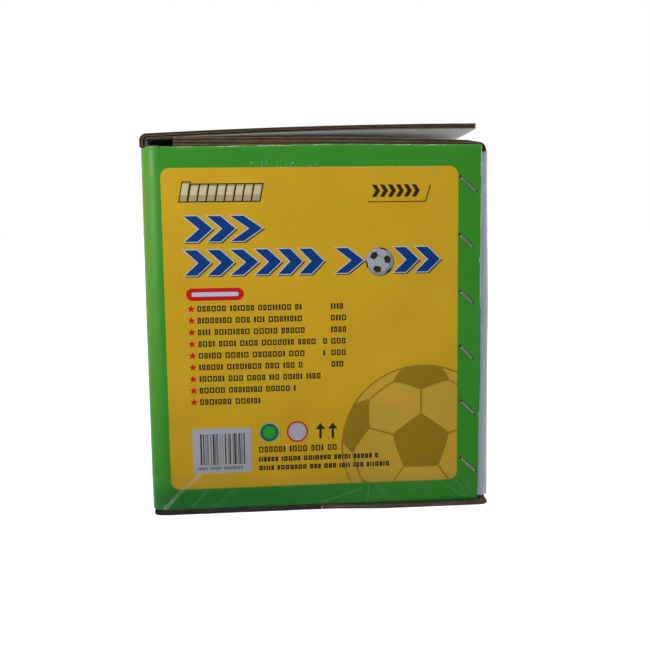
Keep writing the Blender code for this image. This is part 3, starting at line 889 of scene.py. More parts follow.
def make_title_print(end):
    """Bold arrowheads stand where the title was, and a small football stands in its second line."""
    sheet = Print(end)
    for marks, low, high, arm in TITLE_LINES:
        for left, right in marks:
            outline = chevron(left, right, low, high, arm)
            sheet.shape(moved(grown(outline, RIM), *SHADOW_SHIFT), "shadow", 3)
            sheet.shape(grown(outline, RIM), "rim", 4)
            sheet.shape(outline, "blue", 5)
    ball, radius = TITLE_BALL, TITLE_BALL_RADIUS
    shadow, pale = (moved([ball], *shift)[0] for shift in (BALL_SHADOW_SHIFT, PALE_SHIFT))
    sheet.shape(disc(shadow, radius), "shadow", 3)
    sheet.shape(disc(ball, radius), "shaded_ball", 3.5)
    sheet.shape(disc(pale, radius - PALE_INSET), "pale_ball", 4)
    # A hexagon faces the viewer
    hinge = Vector((math.cos(math.radians(36)), math.sin(math.radians(36)), 0))
    tilt = Matrix.Rotation(math.radians(TO_HEXAGON), 3, hinge)
    pentagons, seams = football(Matrix.Rotation(math.radians(-53), 3, "Z") @ tilt, TITLE_PENTAGON)
    for pentagon in pentagons:
        sheet.shape(on_disc(pentagon, ball, radius), "dark", 5)
    for seam in seams:
        sheet.shape(stroke(on_disc(seam, ball, radius), 0.12), "shaded_ball", 5)
    sheet.build("title_print")


BALL, BALL_RADIUS, BALL_PENTAGON = (171.0, 25.0), 55.5, 21.8
BALL_TURN = (math.radians(-1.6), math.radians(-0.9))
SEAM_HALF, RIM_HALF = 0.6, 0.5


def make_ball_print(end):
    """The large football in the lower right corner, in tones of the panel."""
    sheet = Print(end)
    sheet.shape(clipped(disc(BALL, BALL_RADIUS, 96), YELLOW_OUTLINE), "ball_light", 2)
    turn = Matrix.Rotation(BALL_TURN[0], 3, "X") @ Matrix.Rotation(BALL_TURN[1], 3, "Y")
    pentagons, seams = football(turn, BALL_PENTAGON)
    for pentagon in pentagons:
        sheet.shape(clipped(on_disc(pentagon, BALL, BALL_RADIUS), YELLOW_OUTLINE), "ball_dark", 3)
    for seam in seams:
        line = within(stroke(on_disc(seam, BALL, BALL_RADIUS), SEAM_HALF), BALL, BALL_RADIUS - 0.1)
        sheet.shape(clipped(line, YELLOW_OUTLINE), "ball_line", 4)
    rim = arc(BALL, BALL_RADIUS - RIM_HALF, 0, 360, 96)
    for piece in zip(rim, rim[1:]):
        sheet.shape(clipped(stroke(piece, RIM_HALF), YELLOW_OUTLINE), "ball_line", 4)
    sheet.build("ball_print")


# Widths of the boxes and of the gaps between boxes and between runs, as shares of the line's height
BOX_WIDTHS = (0.3, 0.55, 0.65, 0.75)
BOX_GAP, RUN_GAP = 0.22, 0.75


def words(sheet, start, end, v, height, finish, chance, line=0.5):
    """A line of text stands as runs of small hollow boxes, one run for each word."""
    gap, space = height * BOX_GAP, height * RUN_GAP
    spot = start
    while spot < end - height * 0.5:
        for _ in range(chance.randint(3, 8)):
            wide = height * chance.choice(BOX_WIDTHS)
            if spot + wide > end:
                break
            outer = box_outline(spot, spot + wide, v, v + height)
            if wide > 2.6 * line:
                sheet.band(outer, grown(outer, -line), finish, 5)
            else:
                sheet.shape(outer, finish, 5)
            spot += wide + gap
        else:
            spot += space - gap
            continue
        break


# The packing list: its tab and the bar in it as left, right, low, high, radius and steps, then its rows
LIST_TAB = (14.3, 52.0, 126.9, 135.1, 4.1, 8)
LIST_TAB_BAR = (18.0, 48.4, 129.6, 132.4, 0.8, 3)
STAR_U, STAR_TOP, STAR = 17.2, 121.6, 2.7
ROW_STEP = 7.8
ROW_START = 21.3
ROW_ENDS = (93, 93, 93, 99, 93, 93, 103, 86, 63)
ROW_HEIGHT = 3.8
COUNTED_ROWS = 6
COUNT_COLUMNS = ((104.0, 106.6), (109.4, 120.3))


def make_list_print(end):
    """The packing list: a red tab, and a star and small boxes for each of its nine rows."""
    sheet = Print(end)
    chance = random.Random(41)
    sheet.shape(rounded_box(*LIST_TAB), "red", 4)
    sheet.shape(rounded_box(*LIST_TAB_BAR), "rim", 5)
    for row, reach in enumerate(ROW_ENDS):
        v = STAR_TOP - ROW_STEP * row
        sheet.shape(star((STAR_U, v), STAR), "red", 5)
        columns = ((ROW_START, reach), *COUNT_COLUMNS)
        for left, right in columns if row < COUNTED_ROWS else columns[:1]:
            words(sheet, left, right, v - ROW_HEIGHT / 2, ROW_HEIGHT, "dark", chance)
    sheet.build("packing_list_print")


# The round marks: middle, radius, ink and layer
MARK_LEVEL = 37.0
MARKS = ((66.8, 6.6, "label", 3), (66.8, 6.2, "teal", 4), (66.8, 4.3, "lime", 5))
MARKS += ((85.7, 7.2, "red", 3), (85.7, 6.1, "label", 4))

# The small lines: start, end, level, height, ink and thickness of a stroke
SMALL_LINES = ((18.6, 51.0, 12.6, 2.1, "grey", 0.4), (59.5, 114.5, 23.4, 4.0, "dark", 0.5))
SMALL_LINES += ((59.5, 142.0, 17.0, 3.2, "dark", 0.6), (59.5, 150.0, 11.0, 3.2, "dark", 0.6))

# The nameplate's blocks: start, pitch, width and rim, then the foot, the top and the top of the first
PLATES, PLATE_PITCH, PLATE_WIDTH, PLATE_RIM = 12.0, 5.85, 6.9, 0.75
PLATE_FOOT, PLATE_TOP, FIRST_TOP = 191.6, 202.2, 203.6

# The number line's arrowheads: start, pitch, width, low, high and arm
NUMBERS, NUMBER_PITCH, NUMBER_WIDTH, NUMBER_SIDES = 137.4, 5.3, 5.4, (193.2, 201.2, 2.9)

# The bar label: its field, the reach and levels of its bars, and their widths and gaps
BAR_FIELD = (15.5, 54.5, 10.2, 41.0, 0.2, 1)
BARS, BAR_LEVELS = (20.5, 50.0), (16, 37.2)
BAR_WIDTHS, BAR_GAPS = (0.35, 0.35, 0.7, 1.0), (0.4, 0.6, 0.9, 1.3)
ARROWS = (101.3, 109.7)


def make_small_prints(end):
    """The nameplate, the number line, the bar label, the round marks and the small lines."""
    sheet = Print(end)
    chance = random.Random(17)
    for number in range(9):
        start = PLATES + PLATE_PITCH * number
        top = FIRST_TOP if number == 0 else PLATE_TOP
        block = slanted(start, start + PLATE_WIDTH, PLATE_FOOT, top)
        sheet.shape(grown(block, PLATE_RIM), "dark", 3)
        sheet.shape(block, "plate", 4)
        sheet.shape(slanted(start + 0.75, start + 6.2, 195.6, top - 1.0), "shine", 5)
    sheet.shape(rounded_box(134.7, 173.5, 189.7, 190.3, 0.1, 1), "dark", 5)
    sheet.shape(stroke([(173.2, 190.0), (176.3, 200.7)], 0.3), "dark", 5)
    for number in range(6):
        start = NUMBERS + NUMBER_PITCH * number
        sheet.shape(chevron(start, start + NUMBER_WIDTH, *NUMBER_SIDES), "dark", 5)

    sheet.shape(rounded_box(*BAR_FIELD), "label", 3)
    spot, last = BARS
    while spot < last:
        width = chance.choice(BAR_WIDTHS)
        sheet.shape(box_outline(spot, spot + width, *BAR_LEVELS), chance.choice(("dark", "dark", "grey")), 5)
        spot += width + chance.choice(BAR_GAPS)

    for middle, radius, finish, layer in MARKS:
        sheet.shape(disc((middle, MARK_LEVEL), radius), finish, layer)
    for middle in ARROWS:
        sheet.shape([(middle - 3.2, 38.2), (middle + 3.2, 38.2), (middle, 42.4)], "dark", 5)
        sheet.shape(rounded_box(middle - 0.8, middle + 0.8, 31.6, 38.4, 0.1, 1), "dark", 5)
    for left, right, v, height, finish, line in SMALL_LINES:
        words(sheet, left, right, v, height, finish, chance, line)
    sheet.build("label_and_marks_print")


# Wear of the near end, and painted light on it: glints under the film's creases and shade at the joint's edge

# Patches of rubbed varnish: sides, levels and count of flecks
SCUFFED = ((54, 104, 210.5, 218.5, 48), (128, 182, 205, 216.5, 40))
FLECK_ANGLES = (0.2, 1.4, 2.6, 3.9, 5.2)
FOOT_WINDOW = box_outline(-4.0, 209.5, -13.6, -0.8)


def make_scuffs():
    """Pale flecks where the varnish is rubbed, and pale strokes under the film's creases at the foot, painted
    as the glint of the creased film.
    """
    sheet = Print()
    chance = random.Random(5)
    for u0, u1, v0, v1, count in SCUFFED:
        for _ in range(count):
            u, v = chance.uniform(u0, u1), chance.triangular(v0, v1)
            size = chance.uniform(0.15, 0.55)
            wide = [size * chance.uniform(0.6, 1.3) for _ in FLECK_ANGLES]
            tall = [size * chance.uniform(0.7, 2.0) for _ in FLECK_ANGLES]
            sizes = zip(FLECK_ANGLES, wide, tall)
            fleck = [(u + w * math.cos(a), v + t * math.sin(a)) for a, w, t in sizes]
            sheet.shape(fleck, "scuff" if v > YELLOW[1] else "rubbed", 6)
    # Painted highlight: the pale strokes under the creases stand for the light that the creased film catches.
    for start, end, _, _ in CREASES:
        middle = ((start[0] + end[0]) / 2 + 0.6, (start[1] + end[1]) / 2)
        sheet.shape(clipped(stroke([start, middle, end], 0.14), FOOT_WINDOW), "crease", 6)
    sheet.build("scuffs")


# Where the liner is torn, in print millimetres: along the top crease, and down the joint's edge
TOP_TEAR, JOINT_TEAR = (-5.0, 206.0), (226.0, 118.0)
TEAR_PITCH = 0.7
TEAR_TURN = math.radians(50)
BURR_AND_SHADE_LEVELS = (47.0, 117.0)
FIBRE = 0.00005


def make_torn_fibres():
    """The torn white edge of the top liner, along the top crease and down the joint, and a dark brown strip
    along the joint's cut edge, partly its burr and partly painted shade of the gap behind it.
    """
    shape = Shape()
    chance = random.Random(23)
    for along_top, (start, end) in ((True, TOP_TEAR), (False, JOINT_TEAR)):
        over, under = [], []
        drift = 0.5
        for spot in spread(start, end, int(abs(end - start) / TEAR_PITCH)):
            drift = min(max(drift + chance.uniform(-0.3, 0.3), 0.0), 1.0)
            tear = (0.05 + 0.30 * drift * drift) * MM
            if along_top:
                x = to_x(spot)
                top = sleeve_ends("near", x)[1]
                z = top - CREASE_RADIUS * (1 - math.sin(TEAR_TURN))
                face = NEAR - near_swell(x, z) + CREASE_RADIUS * (1 - math.cos(TEAR_TURN))
                over.append((x, face - 0.00008, z + tear))
                under.append((x, face - 0.00012, z - tear * 0.2))
            else:
                z = to_z(spot)
                x = free_edge(z)
                face = NEAR - near_swell(x, z) - 0.00006
                over.append((x + 0.00004, face, z))
                under.append((x - tear * 1.1, face - 0.00003, z))
        shape.loft([over, under], "raw", closed=False)
    # Painted shade, partly: the dark brown strip along the cut edge is the burred lip of the cut and the
    # shadow in the gap beside it.
    inner, outer = [], []
    for step, v in enumerate(spread(*BURR_AND_SHADE_LEVELS, 79)):
        z = to_z(v)
        x = free_edge(z)
        face = NEAR - near_swell(x, z)
        ragged = (0.26 + 0.06 * math.sin(step * 1.9)) * MM
        inner.append((x - 0.00008, face - 0.00008, z))
        outer.append((x + ragged, face + 0.0001, z))
    shape.loft([inner, outer], "worn", closed=False)
    made = shape.build("torn_fibres", "printed_board", outward=False, thickness=FIBRE)
    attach(made, "carton")


# Strips of layered board: flaps and lids

LINER = 0.00042
FLUTE_PITCH = 0.0036
EDGE_DEPTH = 0.008
EDGE_STEPS = 12
CUT_JITTER = 0.00012

# A flute's half thickness as a share of the board's
FLUTE_HALF = 0.02

# Where the points across a board lie, as shares of its width; closer together at both ends
END_SHARES = [0.0, 0.008, 0.018, 0.03, 0.046, 0.067, 0.092, 0.12]
SHARES = END_SHARES + [0.155 + 0.046 * row for row in range(16)] + [1 - share for share in END_SHARES[::-1]]


def layered_board(
    name, over, under, start, end, place, seed, top="green", below="white", cut="kraft", flute="flute"
):
    """Double-wall board on a bent path: three liners, two fluted layers at the cut edges, and a dark core
    painted as the shade deep inside the flutes.

    over and under are matching (a, level) points from the fold to the free edge, and the strip runs
    across from start to end. place gives the point for an (a, level, across).
    """
    shape = Shape()
    chance = random.Random(seed)
    count = len(over)
    thin = [LINER / math.dist(a, b) for a, b in zip(over, under)]
    jitter = [chance.uniform(-1, 1) * CUT_JITTER for _ in over]
    runs = [0.0]
    for one, two in zip(over, over[1:]):
        runs.append(runs[-1] + math.dist(one, two))

    def at(station, share, across):
        o, u = over[station], under[station]
        return place(u[0] + (o[0] - u[0]) * share, u[1] + (o[1] - u[1]) * share, across)

    def sheet(stations, crossing, levels, finish, cap="kraft"):
        """A thin closed sheet; levels gives the two shares of the thickness that it lies between."""
        loops = []
        for station in stations:
            spots = [(y, *levels(station, y)) for y in crossing(station)]
            upper = [at(station, high, y) for y, _, high in spots]
            lower = [at(station, low, y) for y, low, _ in spots]
            loops.append(upper + lower[::-1])
        shape.loft(loops, finish, cap=cap)

    whole = [start + (end - start) * share for share in SHARES]
    half = len(whole)

    def full(station):
        return [whole[0] + jitter[station], *whole[1:-1], whole[-1] - jitter[station]]

    for share, upper, lower in ((1.0, top, flute), (0.5, flute, flute), (0.0, flute, below)):

        def liner(station, _, share=share):
            return share - thin[station] * share, share + thin[station] * (1 - share)

        def finish(_, spot, upper=upper, lower=lower):
            if spot < half - 1:
                return upper
            return lower if half <= spot < 2 * half - 1 else cut

        sheet(range(count), full, liner, finish)

    # The fluted layers show at the two cut ends, where they run along the cut, and at the free edge
    last = max(i for i in range(count) if runs[-1] - runs[i] >= EDGE_DEPTH * 0.9)
    for layer in (0, 1):
        phase = chance.uniform(0, 6)
        drift = chance.uniform(4, 9)

        def wave(station, across, phase=phase, drift=drift, layer=layer):
            turn = 2 * math.pi * across / FLUTE_PITCH + drift * runs[station] + phase
            turn += 0.5 * math.sin(runs[station] * 40 + phase)
            middle = 0.25 + 0.5 * layer + (0.25 - thin[station] * 1.05) * math.sin(turn)
            return middle - FLUTE_HALF, middle + FLUTE_HALF

        for edge, side in ((start, 1), (end, -1)):
            ys = spread(edge, edge + side * EDGE_DEPTH, EDGE_STEPS)

            def strip(station, ys=ys, side=side):
                return [ys[0] + side * jitter[station], *ys[1:]]

            sheet(range(last + 1), strip, wave, flute)
        fine = spread(start, end, int((end - start) / FLUTE_PITCH * 6))
        sheet(range(last, count), lambda _, ys=fine: ys, wave, flute)

    first, final = start + EDGE_DEPTH * 0.8, end - EDGE_DEPTH * 0.8
    deep = [first] + [y for y in whole if first < y < final] + [final]

    # The near black core is painted shade, for the shadow deep between the flutes beyond the cut edges.
    def core(station, _):
        return thin[station] * 1.1, 1 - thin[station] * 1.1

    sheet(range(last + 1), lambda _: deep, core, "core", cap="core")
    return shape.build(name, "printed_board" if top == "green" else "white_board", angle=30)


def edge_runs(length):
    """Distances from the fold to the free edge, closer together at the edge."""
    far = [length - EDGE_DEPTH * share for share in (1.0, 0.66, 0.33, 0.0)]
    return spread(0.0, far[0], 24)[1:-1] + far


LID_SPRING = math.radians(1.5)
LID_BOW = 0.0014
LID_BOARD = 0.0033
LID_FOLD = 0.0048
LID_DROP = 0.0019
LID_CURL = 0.03
FOLD_STEPS = 9


def lid_place(a, level, across):
    """The lid bulges with the left wall, and its near corner curls up at the free edge."""
    x = a - left_bulge(across, level) * (1 - smooth_step(LEFT, LEFT + 0.03, a))
    settled = 1 - math.exp(-max(across - FLAP_NEAR, 0.0) / LID_CURL)
    return (x, across, level - LID_DROP * settled * smooth_step(LEFT, RIGHT, a) ** 2)


def make_lid():
    """The outer flap bends up from the left wall, bows, and stands a little open."""
    reach = (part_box("outer_lid_flap")[1].x - LID_AXIS.x) / math.cos(LID_SPRING)

    def middle(run):
        share = run / reach
        rise = 4 * LID_BOW * share * (1 - share)
        return LID_AXIS.x + run, LID_AXIS.z + 0.0001 + run * math.tan(LID_SPRING) + rise

    first = LEFT + LID_FOLD - LID_AXIS.x
    centre = (LEFT + LID_FOLD, middle(first)[1] + LID_BOARD / 2 - LID_FOLD)
    levels = (LEFT_WALL_TOP, (LEFT_WALL_TOP + centre[1]) / 2)
    over = [(LEFT, z) for z in levels]
    under = [(LEFT + BOARD, z) for z in levels]
    for step, point in enumerate(arc(centre, LID_FOLD, 180, 90, FOLD_STEPS)):
        thick = BOARD + (LID_BOARD - BOARD) * step / FOLD_STEPS
        ratio = 1 - thick / LID_FOLD
        over.append(point)
        under.append((centre[0] + (point[0] - centre[0]) * ratio, centre[1] + (point[1] - centre[1]) * ratio))
    for run in edge_runs(reach - first):
        x, z = middle(first + run)
        over.append((x, z + LID_BOARD / 2))
        under.append((x, z - LID_BOARD / 2))
    sides = (over, under)
    made = layered_board("lid_board", *sides, FLAP_NEAR, FLAP_FAR, lid_place, 3, below="pale", cut="worn")
    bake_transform(made)
    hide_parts("outer_lid_flap")


# Where the inner flap's near edge lies: across and level of its upper and its lower face
FLAP_OVER = ((0.0082, 0.2510), (0.0334, 0.2505), (0.0686, 0.2496), (0.0888, 0.2491), (0.1020, 0.2484))
FLAP_OVER += ((0.1085, 0.2472),)
FLAP_UNDER = ((0.0082, 0.2461), (0.0483, 0.2457), (0.0989, 0.2455), (0.1085, 0.2450))
CURL_MIDDLE = 0.0059
CURL_OUTER = (0.0045, 0.0057)
CURL_INNER = (0.0010, 0.0035)
FLAP_SETTLE = 0.0006
EASED = (-0.008, -0.004, 0.0, 0.004, 0.008)


def level_at(points, x):
    """The level between chosen points, with the corners eased."""
    total = 0.0
    for shift in EASED:
        spot = x + shift if x < points[-1][0] - 0.009 else x
        before, after = points[0], points[-1]
        for one, two in zip(points, points[1:]):
            if one[0] <= spot <= two[0]:
                before, after = one, two
        if spot <= points[0][0]:
            total += points[0][1]
        else:
            total += before[1] + (after[1] - before[1]) * (spot - before[0]) / (after[0] - before[0])
    return total / len(EASED)


def flap_place(a, level, across):
    """The curl is crushed in at the near end, and meets the wall's face further on."""
    deep = across - FLAP_NEAR
    out = RIGHT - CURL_MIDDLE + CURL_OUTER[0]
    side = RIGHT - out + right_bulge(across, RIGHT_WALL_TOP)
    x = a + side * smooth_step(0.085, out, a) * smooth_step(0.0, 0.02, deep)
    settled = (1 - math.exp(-max(deep, 0.0) / LID_CURL)) * (1 - smooth_step(0.06, 0.1, a))
    return (x, across, level - FLAP_SETTLE * settled)


def make_inner_flap():
    """The inner flap curls in over the right wall, crushed thin there, and lies on the end flaps."""
    centre = (RIGHT - CURL_MIDDLE, INNER_AXIS.z)
    levels = (RIGHT_WALL_TOP, (RIGHT_WALL_TOP + centre[1]) / 2)
    sides = []
    for (wide, tall), points in ((CURL_OUTER, FLAP_OVER), (CURL_INNER, FLAP_UNDER)):
        side = [(centre[0] + wide, z) for z in levels]
        side += [(centre[0] + wide * c, centre[1] + tall * s) for c, s in quarter(FOLD_STEPS)]
        spots = [centre[0] - run for run in edge_runs(centre[0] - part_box("inner_lid_flap")[0].x)]
        sides.append(side + [(x, level_at(points, x)) for x in spots])
    made = layered_board("inner_flap_board", *sides, FLAP_NEAR, FLAP_FAR, flap_place, 8, top="pale")
    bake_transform(made)
    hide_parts("inner_lid_flap")


# Between a flap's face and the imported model's, or the floor
SKIN = 0.0001


def end_place(a, level, across):
    """The end flaps run across the carton, and their way in from the fold is along it."""
    return (across, a, level)


def make_end_flaps():
    """The four end flaps, folded in from the end panels at the top and at the bottom."""
    low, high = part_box("near_end_top_flap")
    runs = [CREASE_RADIUS * 0.9] + edge_runs(high.y - NEAR)
    for end, face, inward in (("near", NEAR, 1), ("far", FAR, -1)):
        for level, z, sign in (("top", PANEL_TOP, -1), ("bottom", PANEL_LOW, 1)):
            over = [(face + inward * run, z + sign * SKIN) for run in runs]
            under = [(a, outer + sign * BOARD) for a, outer in over]
            name = f"{end}_{level}_flap_board"
            made = layered_board(name, over, under, low.x, high.x, end_place, len(end) + sign)
            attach(made, "carton")
            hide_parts(f"{end}_end_{level}_flap")


# How far the bottom flaps' cut edges lie behind the far end's face
FAR_FOOT = 0.003

# How far along the carton the flaps stretch to those edges, and how far they are crushed there
PULL_REACH, CRUSH_REACH = 0.04, 0.03


def foot_edge(x):
    """How far the bottom flaps' cut edges lie behind the near end's face."""
    return 0.0012 - 0.0037 * smooth_step(0.0, 0.048, x)


def corner_inset(x):
    """How far the cut edges turn in at the carton's upright folds."""
    left = CORNER_RADIUS - min(max(x - LEFT, 0.0), CORNER_RADIUS)
    right = JOINT_RADIUS - min(max(RIGHT - x, 0.0), JOINT_RADIUS)
    inset = 0.27 * (CORNER_RADIUS - math.sqrt(CORNER_RADIUS**2 - left**2))
    return inset + 0.5 * (JOINT_RADIUS - math.sqrt(JOINT_RADIUS**2 - right**2))


def bottom_place(a, level, across):
    """The bottom flaps follow the walls' bulge; their cut edges are crushed and turn in at the corners."""
    past_near, past_far = across - FLAP_NEAR, FLAP_FAR - across
    near = NEAR + foot_edge(a) + corner_inset(a) - FLAP_NEAR
    far = FAR - FAR_FOOT - corner_inset(a) - FLAP_FAR
    y = across + near * (1 - smooth_step(0.0, PULL_REACH, past_near))
    y += far * (1 - smooth_step(0.0, PULL_REACH, past_far))
    tucked = 1 - smooth_step(0.0, CRUSH_REACH, past_near)
    x = a - (left_bulge(across, 0.0) - 0.0016 * tucked) * (1 - smooth_step(LEFT, LEFT + 0.04, a))
    x += (right_bulge(across, 0.0) - 0.0023 * tucked) * smooth_step(RIGHT - 0.04, RIGHT, a)
    crush = 0.12 + 0.17 * smooth_step(LEFT, -0.06, a) + 0.10 * smooth_step(0.0, 0.048, a)
    crushed = tucked + 1 - smooth_step(0.0, CRUSH_REACH, past_far)
    return (x, y, level * (1 - crush * crushed))


BOTTOM_FOLD = 0.0048
SEAM_REACH = 0.0007
# The near black kraft on the flaps' undersides and on the left flap's cut is painted shade.
BOTTOM_FLAPS = (
    ("left", LEFT, 1, 0.45, {"top": "green", "below": "soiled", "cut": "soiled", "flute": "soiled"}),
    ("right", RIGHT, -1, 0.8, {"top": "white", "below": "soiled", "cut": "kraft", "flute": "kraft"}),
)


def make_bottom_flaps():
    """The two long flaps that close the bottom, folded in from the side walls."""
    for name, face, inward, power, finishes in BOTTOM_FLAPS:
        low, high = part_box(f"{name}_bottom_flap")
        reach = high.x - LEFT if name == "left" else RIGHT - low.x + SEAM_REACH
        over, under = [], []
        for c, s in quarter(8):
            turn, drop = 1 - c**power, 1 - s**power
            over.append((BOTTOM_FOLD * turn, SKIN + LOW_EDGE * drop))
            under.append((BOARD + (BOTTOM_FOLD - BOARD) * turn, BOARD + 0.0004 * drop))
        for run in edge_runs(reach - BOTTOM_FOLD):
            over.append((BOTTOM_FOLD + run, SKIN))
            under.append((BOTTOM_FOLD + run, BOARD))
        sides = [[(face + inward * a, z) for a, z in side] for side in (over, under)]
        board = f"{name}_bottom_board"
        made = layered_board(board, *sides, low.y, high.y, bottom_place, 20 + inward, **finishes)
        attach(made, "carton")
        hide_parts(f"{name}_bottom_flap")


# Clear packing film

FILM = 0.00006
FILM_LIFT = 0.00035
FILM_LOW = 0.0058
EDGE_TAPE_TOP = (0.0287, 0.0194)
EDGE_TAPE_UNDER = 0.019
EDGE_TAPE_SIDES = (0.032, 0.024)
TAPE_FLAT = 200
TAPE_ROWS = 28
UNDER_LEVEL = 0.00004
UNDER_INSET = 0.009
UNDER_START = 0.005

# Creases in the film, in print millimetres: start, end, height and width
CREASES = (
    ((203.0, -14.0), (158.0, 13.0), 0.30, 0.8),
    ((204.0, -13.0), (183.0, 12.0), 0.34, 0.7),
    ((205.0, -12.0), (199.0, 14.0), 0.40, 0.8),
    ((207.0, -9.0), (206.0, 8.0), 0.30, 0.6),
    ((150.0, -15.0), (139.0, -2.0), 0.22, 0.8),
    ((133.0, -15.0), (134.0, 6.0), 0.16, 0.5),
    ((96.0, -15.0), (131.0, -4.0), 0.20, 0.9),
    ((28.0, -14.0), (46.0, 2.0), 0.16, 0.7),
    ((12.0, -15.0), (33.0, 8.0), 0.22, 0.7),
)


def film_rise(u, v, seed=0.0):
    """How far the film stands off the board: small bubbles and its creases."""
    rise = 0.05 * math.sin(u / 5.3 + v / 3.1 + seed) * math.sin(u / 9.7 - v / 4.4 + seed)
    for start, end, height, width in CREASES:
        away, share = from_segment(u, v, start, end)
        rise += height * hump(away, width) * (1 - 0.6 * share)
    return (0.06 + max(rise, -0.05)) * MM


def make_film(name, rows, finish):
    """A thin closed sheet through rows of points."""
    shape = Shape()
    shape.loft(rows, finish, closed=False)
    made = shape.build(name, "clear_tape", angle=60, outward=False, thickness=FILM)
    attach(made, "carton")
    return made


def film_foot(x, near_end):
    """Depth and level of the film's points as it turns under the bottom flaps' cut edges."""
    edge = (foot_edge(x) if near_end else FAR_FOOT) - 0.0003
    crease = FOOT_TUCK if near_end else 0.0
    points = [((crease + edge) / 2, 0.0051), (edge, 0.0041), (edge, 0.0024), (edge, 0.0009)]
    return points + [(edge + 0.0004, 0.0002), (edge + 0.0015, FILM)]


def edge_tape_plan(face, inward):
    """The strip's way round an end: panel, point and outward normal, from the left wall to the right."""
    left, right = EDGE_TAPE_SIDES
    plan = []
    c = CORNER_RADIUS
    for y in spread(left, c, 12)[:-1]:
        plan.append(("left", LEFT, face + inward * y, (-1, 0)))
    for x, y in arc((LEFT + c, 0), c, 180, 90, 10):
        plan.append(("corner", x, face + inward * (c - y), ((x - LEFT - c) / c, -inward * y / c)))
    for x in spread(LEFT + c, FREE_EDGE, TAPE_FLAT)[1:]:
        plan.append(("face", x, face, (0, -inward)))
    radius = JOINT_RADIUS + 0.0015
    for x, y in arc((RIGHT - radius, 0), radius, 70, 0, 8):
        normal = ((x - RIGHT + radius) / radius, -inward * y / radius)
        plan.append(("corner", x, face + inward * (radius - y), normal))
    for y in spread(radius, right, 8)[1:]:
        plan.append(("right", RIGHT, face + inward * y, (1, 0)))
    return plan


def edge_tape_rows(near_end, face, inward):
    """The strip that closes an end's bottom edge and wraps round both corners."""
    rows = []
    for panel, x, y, (nx, ny) in edge_tape_plan(face, inward):
        on_wall = panel in ("left", "right")
        past_edge = panel != "face" and x > 0
        share = smooth_step(LEFT, RIGHT, x) if on_wall else (x - LEFT) / (RIGHT - LEFT)
        top = EDGE_TAPE_TOP[0] + (EDGE_TAPE_TOP[1] - EDGE_TAPE_TOP[0]) * share
        row = []
        for z in spread(top, FILM_LOW, TAPE_ROWS):
            out = film_rise(to_u(x), to_v(z)) + FILM_LIFT
            shift = 0.0
            if near_end and panel == "face":
                out += near_swell(x, z)
            elif near_end and x < 0:
                out -= foot_tuck(z) * abs(ny)
            if near_end:
                shift = right_bulge(y, z) if past_edge else -left_shift(x, y, z)
            row.append((x + nx * out + shift, y + ny * out, z))
        if on_wall:
            # On a wall the strip ends above the foot, with as many points as a row that turns under
            row += [row[-1]] * 10
        else:
            for deep, z in film_foot(x, near_end):
                wave = 0.0002 * math.sin(to_u(x) / 6.0) * (1 if z > 0.002 else 0.0)
                row.append((x + shift, y - ny * (deep + wave), z))
            under = min(max(x, LEFT + UNDER_INSET), RIGHT - UNDER_INSET)
            for deep in spread(UNDER_START, EDGE_TAPE_UNDER, 4)[1:]:
                row.append((under, face + inward * deep, UNDER_LEVEL))
        rows.append(row)
    return rows


def make_edge_tapes():
    for end, face, inward in (("near", NEAR, 1), ("far", FAR, -1)):
        made = make_film(f"{end}_edge_film", edge_tape_rows(end == "near", face, inward), "film")
        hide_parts(f"{end}_end_edge_tape")


TAIL_LOW = 0.0055
TAIL_TURN = 0.004
TAIL_LIFT = 0.00018


def make_seam_tape():
    """The long strip under the bottom seam, with a tail up each end."""
    low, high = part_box("bottom_seam_tape")
    path = [("near", 0.0, z) for z in spread(high.z, TAIL_LOW, 59)]
    path += [("foot", number, 0.0) for number in range(6)]
    path += [("under", y, FILM) for y in spread(TAIL_TURN, FAR - NEAR - TAIL_TURN, 50)[1:-1]]
    path += [("far", deep, z) for deep, z in ((0.002, 0.0005), (0.0008, 0.0018), (0.0002, 0.0036))]
    path += [("far", 0.0, z) for z in spread(TAIL_LOW, high.z, 19)]
    rows = []
    for where, deep, z in path:
        row = []
        for x in spread(low.x, high.x, 60):
            u, v = to_u(x), to_v(z)
            out = film_rise(u + 40, v * 0.7, 2.0) + TAIL_LIFT
            if where == "near":
                top = 0.0002 * math.sin(u / 3.0) if z > high.z - 0.0008 else 0.0
                row.append((x, NEAR - near_swell(x, z) - out, z + top))
            elif where == "foot":
                back, level = film_foot(x, True)[deep]
                row.append((x, NEAR + back - FILM, level))
            elif where == "far":
                row.append((x, FAR - deep + (out if deep == 0 else 0), z))
            else:
                row.append((x, NEAR + deep, z))
        rows.append(row)
    made = make_film("seam_film", rows, "tail_film")
    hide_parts("bottom_seam_tape")


PLEAT = ((-4.8, -14.5), (21.0, 11.0))
PLEAT_STEPS = 60
PLEAT_COLUMNS = 12
PLEAT_LIFT = 0.0006


